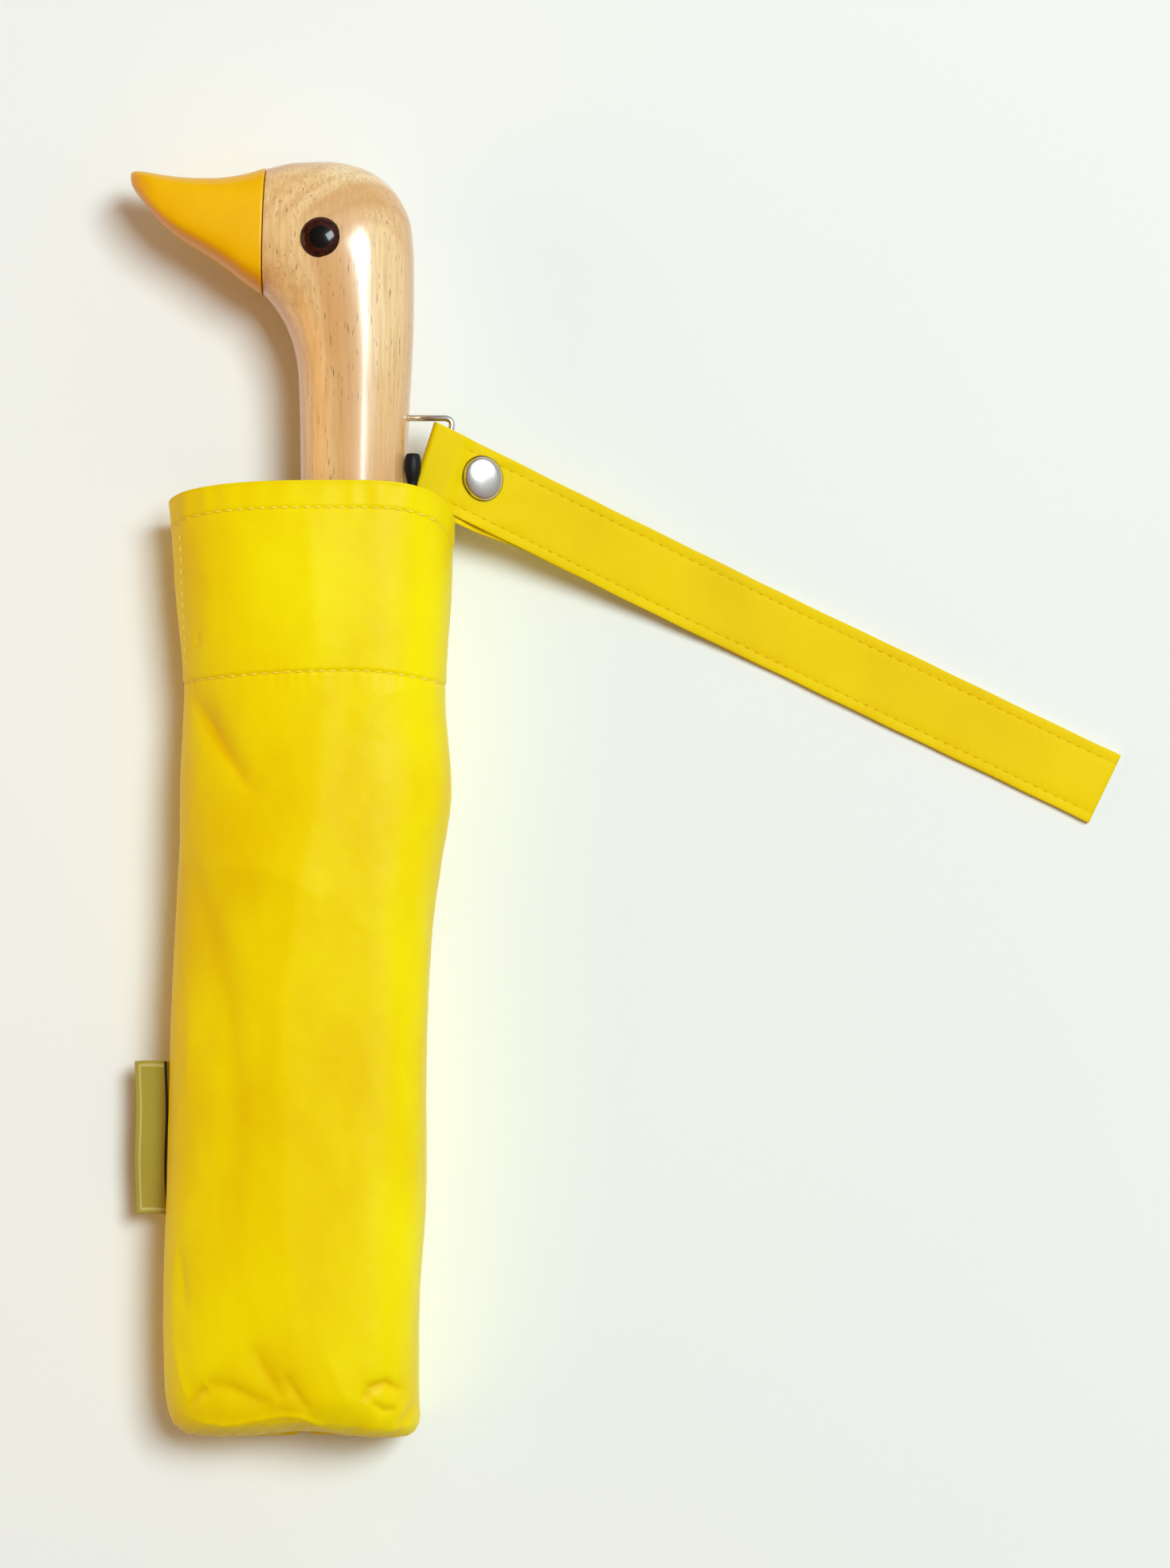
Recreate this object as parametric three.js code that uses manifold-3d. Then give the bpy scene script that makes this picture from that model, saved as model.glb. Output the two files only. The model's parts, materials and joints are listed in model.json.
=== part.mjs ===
// A compact folding umbrella with a carved duck's-head handle, lying on its back in its fabric sleeve.
// Millimetres, +Z up. The shaft lies along Y, the handle at +Y and the crown at -Y, and the table is z = 0.
// The origin is on the table, under the shaft and halfway along the sleeve.
import * as THREE from "three";
import { mergeVertices } from "three/addons/utils/BufferGeometryUtils.js";
import Module from "manifold-3d";

const wasm = await Module();
wasm.setup();

// ---------------------------------------------------------------- driving dimensions
const SHAFT_Z = 21; // the shaft's height above the table
const CROWN_Y = -105; // the ribs' hinges at the crown
const GAP = 0.3; // clearance between pieces that touch

const HANDLE_BOTTOM_Y = 112;
const HEAD_TOP_Y = 208;
const BEAK_PLANE_X = -22.9;
const BEAK_TIP_X = -57.5;
const EYE = { x: -7.9, y: 186.8, radius: 5.25, pocketFloor: 11.6 };

const TUBES = {
  lower: { outer: 5.0, inner: 4.5, from: -78, to: 140 },
  middle: { outer: 4.1, inner: 3.6, from: -88, to: 108 },
  upper: { outer: 3.2, inner: 2.7, from: -102, to: 104 },
};

const RIB_COUNT = 8;
const FIRST_RIB_DEG = 22.5;
const MAIN = { length: 165, radius: 8.4, thick: 2.0 };
const MIDDLE = { length: 150, radius: 10.7, thick: 1.8 };
const OUTER = { length: 199, radius: 12.9, tipRadius: 16.2, thick: 1.6 };
const STRETCHER = { reach: 80, length: 100, offset: 2.4, thick: 1.8 };
const TIP = { length: 14, radius: 2.25, endRadius: 1.6 };
const LONG_TIP_EXTRA = 9; // the first rib's tip stands out of the sleeve's mouth

const WIRE = { radius: 0.8, legDepth: 6, bend: 2.6 };
const RING = { top: [25.6, 141.85], bottom: [20.3, 116.2] }; // the ring's two outer corners, x and y

const STRAP = {
  start: [16.4, 132.0],
  angleDeg: -25.6,
  length: 199.4,
  width: 19.7,
  skew: 2.7, // how much further along its lower edge starts, beside the slanting wire
  layer: 0.8,
  slit: 0.5,
  wireSlit: 3.5,
};
const STUD = { along: 17.6, across: 2.1, capRadius: 5.6, capHeight: 1.7, baseRadius: 5.2 };

const SLEEVE_WALL = 0.7;
const LABEL = { width: 9.4, length: 39.8, thick: 0.7, y: -45, z: 13 };

// ---------------------------------------------------------------- materials
const material = (color, roughness, metalness) =>
  new THREE.MeshStandardMaterial({ color, roughness, metalness });
const WOOD = material(0xd9ab78, 0.35, 0);
const BEAK_PAINT = material(0xf2b100, 0.25, 0);
const EYE_GLOSS = material(0x1a0c0a, 0.08, 0);
const STEEL = material(0xc9ccd0, 0.2, 1);
const BLACK_PLASTIC = material(0x151515, 0.45, 0);
const BLACK_STEEL = material(0x202124, 0.4, 0.6);
const YELLOW_CLOTH = material(0xf2d800, 0.6, 0);
const LABEL_CLOTH = material(0xa79a20, 0.85, 0);

// ---------------------------------------------------------------- shape helpers
const rad = THREE.MathUtils.degToRad;

// A closed surface through rings of equal point counts. An open run of rings gets a fan at each end,
// and a looped one joins its last ring to its first.
function loft(rings, { looped = false } = {}) {
  const around = rings[0].length;
  const points = rings.flat();
  const faces = [];
  const last = looped ? rings.length : rings.length - 1;
  for (let i = 0; i < last; i++) {
    const a = i * around;
    const b = ((i + 1) % rings.length) * around;
    for (let j = 0; j < around; j++) {
      const k = (j + 1) % around;
      faces.push(a + j, a + k, b + k, a + j, b + k, b + j);
    }
  }
  if (!looped) {
    [0, rings.length - 1].forEach((ring, end) => {
      const middle = new THREE.Vector3();
      rings[ring].forEach((p) => middle.addScaledVector(p, 1 / around));
      const centre = points.push(middle) - 1;
      for (let j = 0; j < around; j++) {
        const a = ring * around + j;
        const b = ring * around + ((j + 1) % around);
        if (end === 0) faces.push(centre, b, a);
        else faces.push(centre, a, b);
      }
    });
  }
  const geometry = new THREE.BufferGeometry().setFromPoints(points);
  geometry.setIndex(faces);
  return facingOut(geometry);
}

// The geometry with its faces turned to point out of the solid.
function facingOut(geometry) {
  const position = geometry.getAttribute("position");
  const index = geometry.index.array;
  const [a, b, c] = [new THREE.Vector3(), new THREE.Vector3(), new THREE.Vector3()];
  let volume = 0;
  for (let i = 0; i < index.length; i += 3) {
    a.fromBufferAttribute(position, index[i]);
    b.fromBufferAttribute(position, index[i + 1]);
    c.fromBufferAttribute(position, index[i + 2]);
    volume += a.dot(b.clone().cross(c));
  }
  if (volume < 0) geometry.setIndex(Array.from(index).reverse());
  return geometry;
}

// A solid of manifold-3d from a closed three.js geometry.
function solid(geometry) {
  const bare = geometry.clone();
  bare.deleteAttribute("normal");
  bare.deleteAttribute("uv");
  const merged = mergeVertices(bare, 1e-4);
  return new wasm.Manifold(
    new wasm.Mesh({
      numProp: 3,
      vertProperties: merged.getAttribute("position").array,
      triVerts: new Uint32Array(merged.index.array),
    }),
  );
}

function geometryOf(manifold) {
  const mesh = manifold.getMesh();
  const geometry = new THREE.BufferGeometry();
  const position = new THREE.BufferAttribute(new Float32Array(mesh.vertProperties), 3);
  geometry.setAttribute("position", position);
  geometry.setIndex(Array.from(mesh.triVerts));
  return geometry;
}

const minus = (geometry, ...cutters) =>
  geometryOf(cutters.reduce((left, cutter) => left.subtract(solid(cutter)), solid(geometry)));

// A solid turned about Y from [radius, y] points.
function turned(profile, segments = 24) {
  const points = profile.map(([radius, y]) => new THREE.Vector2(radius, y));
  return new THREE.LatheGeometry(points, segments);
}

const bar = (across, along, deep) => new THREE.BoxGeometry(across, along, deep);

function named(name, geometry, look) {
  const mesh = new THREE.Mesh(geometry, look);
  mesh.name = name;
  return mesh;
}

// Straight runs between [at, ...values] stations, eased so that the shape is smooth at each.
function between(stations, at) {
  const rows = stations[0][0] < stations.at(-1)[0] ? stations : [...stations].reverse();
  if (at <= rows[0][0]) return rows[0].slice(1);
  const next = rows.findIndex((row) => row[0] >= at);
  if (next < 0) return rows.at(-1).slice(1);
  const [low, high] = [rows[next - 1], rows[next]];
  const share = (at - low[0]) / (high[0] - low[0]);
  return low.slice(1).map((value, i) => value + (high[i + 1] - value) * share);
}

const signedPower = (value, power) => Math.sign(value) * Math.abs(value) ** power;

// ---------------------------------------------------------------- the handle
// Slices of the wooden head and neck: y, lowest x, highest x, half thickness in z.
const HEAD_SLICES = [
  [HANDLE_BOTTOM_Y, -13.7, 13.4, 13.6],
  [126, -13.9, 13.7, 13.8],
  [149, -14.0, 14.6, 14.2],
  [156, -14.5, 14.9, 14.5],
  [161, -15.7, 15.0, 14.8],
  [166, -18.0, 15.1, 15.1],
  [170, -21.2, 15.2, 15.3],
  [174, -24.6, 15.3, 15.5],
  [180, -28.6, 15.3, 15.7],
  [187, -30.5, 15.1, 15.7],
  [193, -30.6, 14.1, 15.2],
  [198.5, -29.2, 11.8, 14.0],
  [203, -27.0, 8.1, 11.6],
  [206, -24.0, 3.2, 8.0],
  [207.5, -18.2, -2.4, 4.0],
  [HEAD_TOP_Y, -13.2, -6.4, 1.2],
];
const HEAD_FULLNESS = 2.3; // exponent of the slices' superellipse

function sliceRing([y, lowX, highX, halfZ], points = 32) {
  const centre = (lowX + highX) / 2;
  const halfX = (highX - lowX) / 2;
  return Array.from({ length: points }, (_, i) => {
    const angle = (i / points) * 2 * Math.PI;
    return new THREE.Vector3(
      centre + halfX * signedPower(Math.cos(angle), 2 / HEAD_FULLNESS),
      y,
      SHAFT_Z + halfZ * signedPower(Math.sin(angle), 2 / HEAD_FULLNESS),
    );
  });
}

function woodenHead() {
  const whole = loft(HEAD_SLICES.map((slice) => sliceRing(slice)));
  const faceCut = new THREE.BoxGeometry(20, 60, 60);
  faceCut.translate(BEAK_PLANE_X - 10, 190, SHAFT_Z);
  const shaftBore = new THREE.CylinderGeometry(TUBES.lower.outer + GAP, TUBES.lower.outer + GAP, 32, 32);
  shaftBore.translate(0, HANDLE_BOTTOM_Y - 1 + 16, SHAFT_Z);
  const pockets = [1, -1].map((side) => {
    const pocket = new THREE.CylinderGeometry(EYE.radius + GAP, EYE.radius + GAP, 10, 32);
    pocket.rotateX(Math.PI / 2);
    return pocket.translate(EYE.x, EYE.y, SHAFT_Z + side * (EYE.pocketFloor + 5));
  });
  const wireHoles = [RING.top[1], RING.bottom[1]].map((y) => {
    const hole = new THREE.CylinderGeometry(WIRE.radius + GAP, WIRE.radius + GAP, 12, 16);
    hole.rotateZ(Math.PI / 2);
    return hole.translate(14 - WIRE.legDepth - GAP + 6, y, SHAFT_Z);
  });
  return minus(whole, faceCut, shaftBore, ...pockets, ...wireHoles);
}

// Slices of the beak: x, lowest y, highest y, half thickness in z.
const BEAK_SLICES = [
  [BEAK_PLANE_X - GAP, 173.6, 206.1, 12.3],
  [-27.9, 176.6, 204.8, 11.9],
  [-32.0, 179.8, 204.0, 11.4],
  [-36.1, 182.7, 203.6, 10.9],
  [-40.2, 185.3, 203.6, 10.3],
  [-44.4, 187.8, 203.8, 9.6],
  [-48.5, 191.0, 204.3, 8.6],
  [-52.6, 195.3, 205.0, 6.8],
  [-55.4, 198.9, 205.5, 4.8],
  [-57.0, 201.0, 205.4, 2.6],
  [BEAK_TIP_X, 202.6, 204.4, 0.9],
];

function beak() {
  const points = 28;
  return loft(
    BEAK_SLICES.map(([x, lowY, highY, halfZ]) =>
      Array.from({ length: points }, (_, i) => {
        const angle = (i / points) * 2 * Math.PI;
        return new THREE.Vector3(
          x,
          (lowY + highY) / 2 + ((highY - lowY) / 2) * signedPower(Math.cos(angle), 0.9),
          SHAFT_Z + halfZ * signedPower(Math.sin(angle), 0.9),
        );
      }),
    ),
  );
}

// A glass-eye button: a flange in the pocket and a low dome.
function eye(side) {
  const floor = EYE.pocketFloor + GAP;
  const domeBase = 15.1;
  const profile = [[0, floor], [EYE.radius, floor], [EYE.radius, domeBase]];
  const steps = 5;
  for (let i = 1; i <= steps; i++) {
    const angle = (i / steps) * (Math.PI / 2);
    profile.push([i === steps ? 0 : EYE.radius * Math.cos(angle), domeBase + 2.1 * Math.sin(angle)]);
  }
  const geometry = turned(profile);
  geometry.rotateX((side * Math.PI) / 2);
  return geometry.translate(EYE.x, EYE.y, SHAFT_Z);
}

// The strap's wire ring: a bail of bent wire whose two ends go into the wood.
function wireRing() {
  const inner = 14 - WIRE.legDepth;
  const corners = [
    [inner, RING.top[1]],
    RING.top,
    RING.bottom,
    [inner, RING.bottom[1]],
  ].map(([x, y]) => new THREE.Vector3(x, y, SHAFT_Z));
  const route = new THREE.CurvePath();
  let from = corners[0];
  for (let i = 1; i < corners.length - 1; i++) {
    const corner = corners[i];
    const before = corner.clone().lerp(corners[i - 1], WIRE.bend / corner.distanceTo(corners[i - 1]));
    const after = corner.clone().lerp(corners[i + 1], WIRE.bend / corner.distanceTo(corners[i + 1]));
    route.add(new THREE.LineCurve3(from, before));
    route.add(new THREE.QuadraticBezierCurve3(before, corner, after));
    from = after;
  }
  route.add(new THREE.LineCurve3(from, corners.at(-1)));
  const points = route.curves.flatMap((curve) => curve.getPoints(curve.isLineCurve3 ? 1 : 5).slice(1));
  const path = new THREE.CurvePath();
  [corners[0], ...points].forEach((point, i, all) => {
    if (i) path.add(new THREE.LineCurve3(all[i - 1], point));
  });
  const sides = 10;
  const rings = [corners[0], ...points].map((point, i, all) => {
    const ahead = (all[i + 1] ?? point).clone().sub(all[i - 1] ?? point).normalize();
    const sideways = new THREE.Vector3(-ahead.y, ahead.x, 0);
    return Array.from({ length: sides }, (_, j) => {
      const angle = (j / sides) * 2 * Math.PI;
      return point
        .clone()
        .addScaledVector(sideways, WIRE.radius * Math.cos(angle))
        .setZ(SHAFT_Z + WIRE.radius * Math.sin(angle));
    });
  });
  return loft(rings);
}

// ---------------------------------------------------------------- the shaft
function tube({ outer, inner, from, to }) {
  const profile = [[inner, from], [outer, from], [outer, to], [inner, to], [inner, from]];
  return turned(profile).translate(0, 0, SHAFT_Z);
}

// Radial slots round a disc, each for a rib or a stretcher that hinges there.
function slots(count, innerRadius, lowSide, highSide, y, height) {
  return Array.from({ length: count }, (_, i) => {
    const slot = bar(12, height, highSide - lowSide);
    slot.translate(innerRadius + 6, y, -(lowSide + highSide) / 2);
    slot.rotateY(-rad(FIRST_RIB_DEG + (i * 360) / count));
    return slot;
  });
}

function crownNotch() {
  const profile = [[3.5, -3], [9.8, -3], [9.8, 3], [6.2, 5], [3.5, 5], [3.5, -3]];
  const cut = slots(RIB_COUNT, 6.6, -1.35, 1.35, 0, 20);
  return minus(turned(profile, 32), ...cut).translate(0, CROWN_Y, SHAFT_Z);
}

function crownCap() {
  const profile = [[0, -13], [3, -12.6], [6, -11], [7.6, -8.6], [8, -6], [8, -3.4], [0, -3.4]];
  return turned(profile).translate(0, CROWN_Y, SHAFT_Z);
}

const runnerAt = STRETCHER.reach + STRETCHER.length;

function runner() {
  const profile = [
    [5.35, -3], [10.4, -3], [10.4, 3], [7.2, 5], [7.2, 22], [8.6, 23], [8.6, 26], [5.35, 26], [5.35, -3],
  ];
  const cut = slots(RIB_COUNT, 6.8, -1.4, STRETCHER.offset + 1.3, 0, 12);
  return minus(turned(profile, 32), ...cut).translate(0, CROWN_Y + runnerAt, SHAFT_Z);
}

// ---------------------------------------------------------------- the folding ribs
// Each rib is built along +Y with its radius along +X, and its group is turned about the shaft.
function ribParts(number) {
  const long = number === 1 ? LONG_TIP_EXTRA : 0;
  const end = 0.4; // how far a bar stops short of its hinge
  const main = bar(MAIN.thick, MAIN.length - end + 1.1, MAIN.thick);
  main.translate(MAIN.radius, (MAIN.length - end - 1.1) / 2, 0);
  const middle = bar(MIDDLE.thick, MIDDLE.length - 2 * end, MIDDLE.thick);
  middle.translate(MIDDLE.radius, MAIN.length - MIDDLE.length / 2, 0);

  const outerLength = OUTER.length + long - end;
  const outer = bar(OUTER.thick, outerLength, OUTER.thick);
  outer.translate(0, end + outerLength / 2, 0);
  const lean = Math.asin((OUTER.tipRadius - OUTER.radius) / OUTER.length);
  const tip = turned([
    [0, 0],
    [TIP.radius * 0.72, 0],
    [TIP.radius, TIP.length * 0.45],
    [TIP.radius * 0.95, TIP.length * 0.7],
    [TIP.endRadius, TIP.length],
    [0, TIP.length],
  ], 16);
  tip.translate(0, OUTER.length + long + GAP, 0);
  [outer, tip].forEach((piece) => {
    piece.rotateZ(-lean);
    piece.translate(OUTER.radius, MAIN.length - MIDDLE.length, 0);
  });

  const stretcher = bar(STRETCHER.thick, STRETCHER.length + 2, STRETCHER.thick);
  stretcher.translate(MAIN.radius, STRETCHER.reach + STRETCHER.length / 2, -STRETCHER.offset);

  const group = new THREE.Group();
  group.position.set(0, CROWN_Y, SHAFT_Z);
  group.rotation.y = -rad(FIRST_RIB_DEG + ((number - 1) * 360) / RIB_COUNT);
  group.add(
    named(`main_rib_${number}`, main, BLACK_STEEL),
    named(`middle_rib_${number}`, middle, BLACK_STEEL),
    named(`outer_rib_${number}`, outer, BLACK_STEEL),
    named(`rib_tip_${number}`, tip, BLACK_PLASTIC),
    named(`stretcher_${number}`, stretcher, STEEL),
  );
  return group;
}

// ---------------------------------------------------------------- the soft goods
// Stations of the sleeve: y, left x, right x, top z.
const SLEEVE_STATIONS = [
  [-121.5, -40.0, 8.0, 24.0],
  [-120.5, -44.5, 13.5, 31.0],
  [-117, -47.8, 16.2, 37.5],
  [-109, -49.3, 16.6, 40.5],
  [-91, -49.6, 16.6, 41.6],
  [-60, -49.0, 18.2, 42.0],
  [-19, -47.9, 19.1, 42.0],
  [5, -46.7, 20.0, 42.0],
  [26, -45.9, 22.5, 42.0],
  [46, -45.4, 25.1, 42.0],
  [72, -44.4, 23.5, 41.6],
  [98, -47.0, 24.6, 42.0],
  [120, -48.3, 25.0, 42.0],
];
const MOUTH = { front: 124.4, back: 115, riseFrom: 24, top: 42 };
const SIDE_Z = 13; // height of the sleeve's left-hand fold

// One closed outline round the shaft: a flat underside, an upright right side and a sloping left one.
function softSection(y, [left, right, top], inset, floor, points = 36) {
  return Array.from({ length: points }, (_, i) => {
    const angle = (i / points) * 2 * Math.PI;
    const [across, up] = [Math.cos(angle), Math.sin(angle)];
    const side = across > 0 ? right - inset : -left - inset;
    const middle = across > 0 ? SHAFT_Z - 2 : SIDE_Z + 3;
    const fullAcross = across > 0 ? 0.72 : 0.8;
    const reach = up > 0 ? top - inset - middle : middle + 2.5;
    const z = middle + reach * signedPower(up, up > 0 && across < 0 ? 0.95 : 0.75);
    return new THREE.Vector3(side * signedPower(across, fullAcross), y, Math.max(floor, z));
  });
}

// The mouth's rim is highest in front, drops slowly down the slack left side and late on the right.
function rimHeight(point) {
  const share = THREE.MathUtils.clamp(
    point.x < 0 ? point.z / MOUTH.top : (point.z - MOUTH.riseFrom) / (MOUTH.top - MOUTH.riseFrom),
    0,
    1,
  );
  const raised = point.x < 0 ? 1 - (1 - share) ** 1.6 : share ** 1.3;
  return MOUTH.back + (MOUTH.front - MOUTH.back) * raised;
}

function sleeve() {
  const heights = [-121.5, -120.5, -117, -109, -91, -60, -19, 5, 26, 46, 72, 98];
  const wall = (inset, floor, lift) =>
    heights.map((y) => softSection(y + (y < -100 ? lift : 0), between(SLEEVE_STATIONS, y), inset, floor));
  const rim = (inset, floor) =>
    softSection(118, between(SLEEVE_STATIONS, 120), inset, floor).map((point) => point.setY(rimHeight(point)));
  const outside = [...wall(0, 0, 0), rim(0, 0)];
  const inside = [...wall(SLEEVE_WALL, SLEEVE_WALL, SLEEVE_WALL), rim(SLEEVE_WALL, SLEEVE_WALL)];
  return loft([...outside, ...inside.reverse()]);
}

// The furled canopy: cloth gathered round the ribs, with a bore that holds them.
const CANOPY = { from: -108, to: 106, inset: 2.6, floor: 1.9 };

function canopyLimits(y) {
  const [, right, top] = between(SLEEVE_STATIONS, Math.max(y, -88));
  return [-42.4, Math.min(right, 22), top];
}

function boreRing(y, points = 36) {
  const share = (y - CANOPY.from) / (CANOPY.to - CANOPY.from);
  const radius = 14.0 + 3.7 * share;
  return Array.from({ length: points }, (_, i) => {
    const angle = (i / points) * 2 * Math.PI;
    return new THREE.Vector3(radius * Math.cos(angle), y, SHAFT_Z + radius * Math.sin(angle));
  });
}

function furledCanopy() {
  const heights = [CANOPY.from, -100, -88, -60, -19, 12, 43, 72, CANOPY.to];
  const narrowing = { [CANOPY.from]: 0.55, [-100]: 0.9 };
  const outside = heights.map((y) => {
    const [left, right, top] = canopyLimits(y);
    const share = narrowing[y] ?? 1;
    return softSection(y, [left * share, Math.max(right * share, 17.5), top * (0.88 + 0.12 * share)], CANOPY.inset,
      CANOPY.floor);
  });
  const bore = [...heights].reverse().map((y) => boreRing(y));
  return loft([...outside, ...bore], { looped: true });
}

// The tie that holds the furled canopy, with its stud at the front.
const TIE = { from: 10, to: 27, thick: 0.8 };

function canopyTie() {
  const ring = (y, extra) =>
    softSection(y, canopyLimits(y), CANOPY.inset - extra, CANOPY.floor - extra);
  const outer = [TIE.from, TIE.to].map((y) => ring(y, GAP + TIE.thick));
  const inner = [TIE.to, TIE.from].map((y) => ring(y, GAP));
  return loft([...outer, ...inner], { looped: true });
}

function label() {
  const cloth = bar(LABEL.width, LABEL.length, LABEL.thick);
  return cloth.translate(-48.9 - LABEL.width / 2, LABEL.y, LABEL.z);
}

// ---------------------------------------------------------------- the wrist strap
// The strap's height above the table, along its length.
function strapHeight(along) {
  const down = THREE.MathUtils.smoothstep(along, -14, 112);
  return 1.25 + (SHAFT_Z - 1.25 + 1.1) * (1 - down) ** 1.05;
}

// Half the space between the two layers: wide round the ring's wire, then a flat slit.
function strapHalfSlit(along) {
  const share = THREE.MathUtils.smoothstep(along, 8.4, 12.2);
  return (STRAP.wireSlit / 2) * (1 - share) + (STRAP.slit / 2) * share;
}

// A band folded at both ends: out along the top layer and back along the lower one.
function strap() {
  const stations = [2.2, 5, 8.4, 10.3, 12.2, 15, 20, 30, 42, 56, 72, 90, 112, 150, STRAP.length - 1.4];
  const outline = (extra, nearEnd, farEnd) => {
    const offset = (along) => strapHalfSlit(along) + extra;
    const under = stations.map((along) => [along, strapHeight(along) - offset(along)]);
    const top = [...stations].reverse().map((along) => [along, strapHeight(along) + offset(along)]);
    return [[nearEnd, strapHeight(0)], ...under, [farEnd, strapHeight(STRAP.length)], ...top];
  };
  const outer = outline(STRAP.layer, 0, STRAP.length);
  const inner = outline(0, STRAP.layer, STRAP.length - STRAP.layer);
  const shape = new THREE.Shape(outer.map(([u, z]) => new THREE.Vector2(u, z)));
  shape.holes.push(new THREE.Path(inner.map(([u, z]) => new THREE.Vector2(u, z))));
  const band = new THREE.ExtrudeGeometry(shape, { depth: STRAP.width, bevelEnabled: false, steps: 1 });
  band.rotateX(Math.PI / 2);
  band.translate(0, STRAP.width / 2, 0);
  const position = band.getAttribute("position");
  for (let i = 0; i < position.count; i++) {
    const along = position.getX(i);
    const lowShare = 0.5 - position.getY(i) / STRAP.width;
    const nearShare = 1 - THREE.MathUtils.smoothstep(along, 9, 60);
    position.setX(i, along + STRAP.skew * lowShare * nearShare);
  }
  const bare = mergeVertices(band.deleteAttribute("normal").deleteAttribute("uv"), 1e-4);
  return facingOut(bare);
}

// The press stud's cap above the strap and its base below, set square to the strap there.
function studPiece(profile, lift) {
  const geometry = turned(profile, 24);
  geometry.rotateX(Math.PI / 2);
  const rise = strapHeight(STUD.along + 2) - strapHeight(STUD.along - 2);
  geometry.rotateY(-Math.atan2(rise, 4));
  return geometry.translate(STUD.along, STUD.across, strapHeight(STUD.along) + lift);
}

function studCap() {
  const { capRadius: radius, capHeight: height } = STUD;
  return studPiece([[0, 0], [radius, 0], [radius, 0.6], [radius * 0.86, height * 0.82], [0, height]], 1.7);
}

function studBase() {
  const radius = STUD.baseRadius;
  return studPiece([[0, -1.2], [radius * 0.8, -1.2], [radius, -0.7], [radius, 0], [0, 0]], -1.4);
}

// ---------------------------------------------------------------- the assembly
const umbrella = new THREE.Group();
umbrella.add(
  named("handle", woodenHead(), WOOD),
  named("beak", beak(), BEAK_PAINT),
  named("eye_right", eye(1), EYE_GLOSS),
  named("eye_left", eye(-1), EYE_GLOSS),
  named("wire_ring", wireRing(), STEEL),
  named("lower_tube", tube(TUBES.lower), STEEL),
  named("middle_tube", tube(TUBES.middle), STEEL),
  named("upper_tube", tube(TUBES.upper), STEEL),
  named("crown_notch", crownNotch(), BLACK_PLASTIC),
  named("crown_cap", crownCap(), BLACK_PLASTIC),
  named("runner", runner(), BLACK_PLASTIC),
  named("canopy", furledCanopy(), YELLOW_CLOTH),
  named("canopy_tie", canopyTie(), YELLOW_CLOTH),
  named("sleeve", sleeve(), YELLOW_CLOTH),
  named("label", label(), LABEL_CLOTH),
);
for (let number = 1; number <= RIB_COUNT; number++) umbrella.add(ribParts(number));

const wristStrap = new THREE.Group();
wristStrap.position.set(STRAP.start[0], STRAP.start[1], 0);
wristStrap.rotation.z = rad(STRAP.angleDeg);
wristStrap.add(
  named("wrist_strap", strap(), YELLOW_CLOTH),
  named("stud_cap", studCap(), STEEL),
  named("stud_base", studBase(), STEEL),
);
umbrella.add(wristStrap);

export default umbrella;
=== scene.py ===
"""A compact folding umbrella with a carved duck's-head handle, lying in its yellow sleeve.

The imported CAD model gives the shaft, the ribs and every joint. This script builds what shows:
the carved head, the beak and eyes, the stitched strap, the sleeve and the furled canopy.
Lengths here are in millimetres and become metres when a mesh is made.
"""

import json
import math

import bpy
import numpy as np
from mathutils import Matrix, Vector, noise
from mathutils.bvhtree import BVHTree


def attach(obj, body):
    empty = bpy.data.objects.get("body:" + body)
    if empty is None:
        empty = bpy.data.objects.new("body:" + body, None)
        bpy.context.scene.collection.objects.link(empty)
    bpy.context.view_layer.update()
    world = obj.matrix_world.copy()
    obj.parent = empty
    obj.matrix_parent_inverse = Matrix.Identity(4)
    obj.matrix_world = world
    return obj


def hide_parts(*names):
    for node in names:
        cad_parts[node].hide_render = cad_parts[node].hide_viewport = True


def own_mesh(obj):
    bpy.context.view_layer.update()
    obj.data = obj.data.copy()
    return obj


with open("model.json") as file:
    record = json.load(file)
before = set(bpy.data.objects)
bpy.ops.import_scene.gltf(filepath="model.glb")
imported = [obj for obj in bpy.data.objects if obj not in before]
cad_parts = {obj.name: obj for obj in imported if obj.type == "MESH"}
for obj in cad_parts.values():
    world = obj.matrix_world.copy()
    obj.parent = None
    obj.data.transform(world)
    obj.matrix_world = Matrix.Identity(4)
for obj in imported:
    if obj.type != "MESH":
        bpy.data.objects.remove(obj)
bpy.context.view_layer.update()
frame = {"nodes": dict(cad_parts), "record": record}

MM = 0.001
SHAFT_Z = 21.0


# ---- camera, light and floor

VIEW_CENTRE = (59.6, 47.2)  # where the camera looks, straight down
VIEW_HEIGHT = 405.6  # what the picture's height spans at the shaft's height
CAMERA_HEIGHT = 1221.0
LIGHT_AIM = Vector((0.03, 0.05, 0.0))  # metres, near the middle of the umbrella
PALE_SIDE = (0.62, 0.25, 0.75)  # up and to the right, where the world is palest


def add_camera():
    data = bpy.data.cameras.new("camera")
    data.sensor_fit = "VERTICAL"
    data.sensor_height = 24.0
    data.lens = data.sensor_height * (CAMERA_HEIGHT - SHAFT_Z) / VIEW_HEIGHT
    data.clip_start = 0.05
    camera = bpy.data.objects.new("camera", data)
    camera.location = Vector((*VIEW_CENTRE, CAMERA_HEIGHT)) * MM
    bpy.context.scene.collection.objects.link(camera)
    bpy.context.scene.camera = camera


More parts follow.
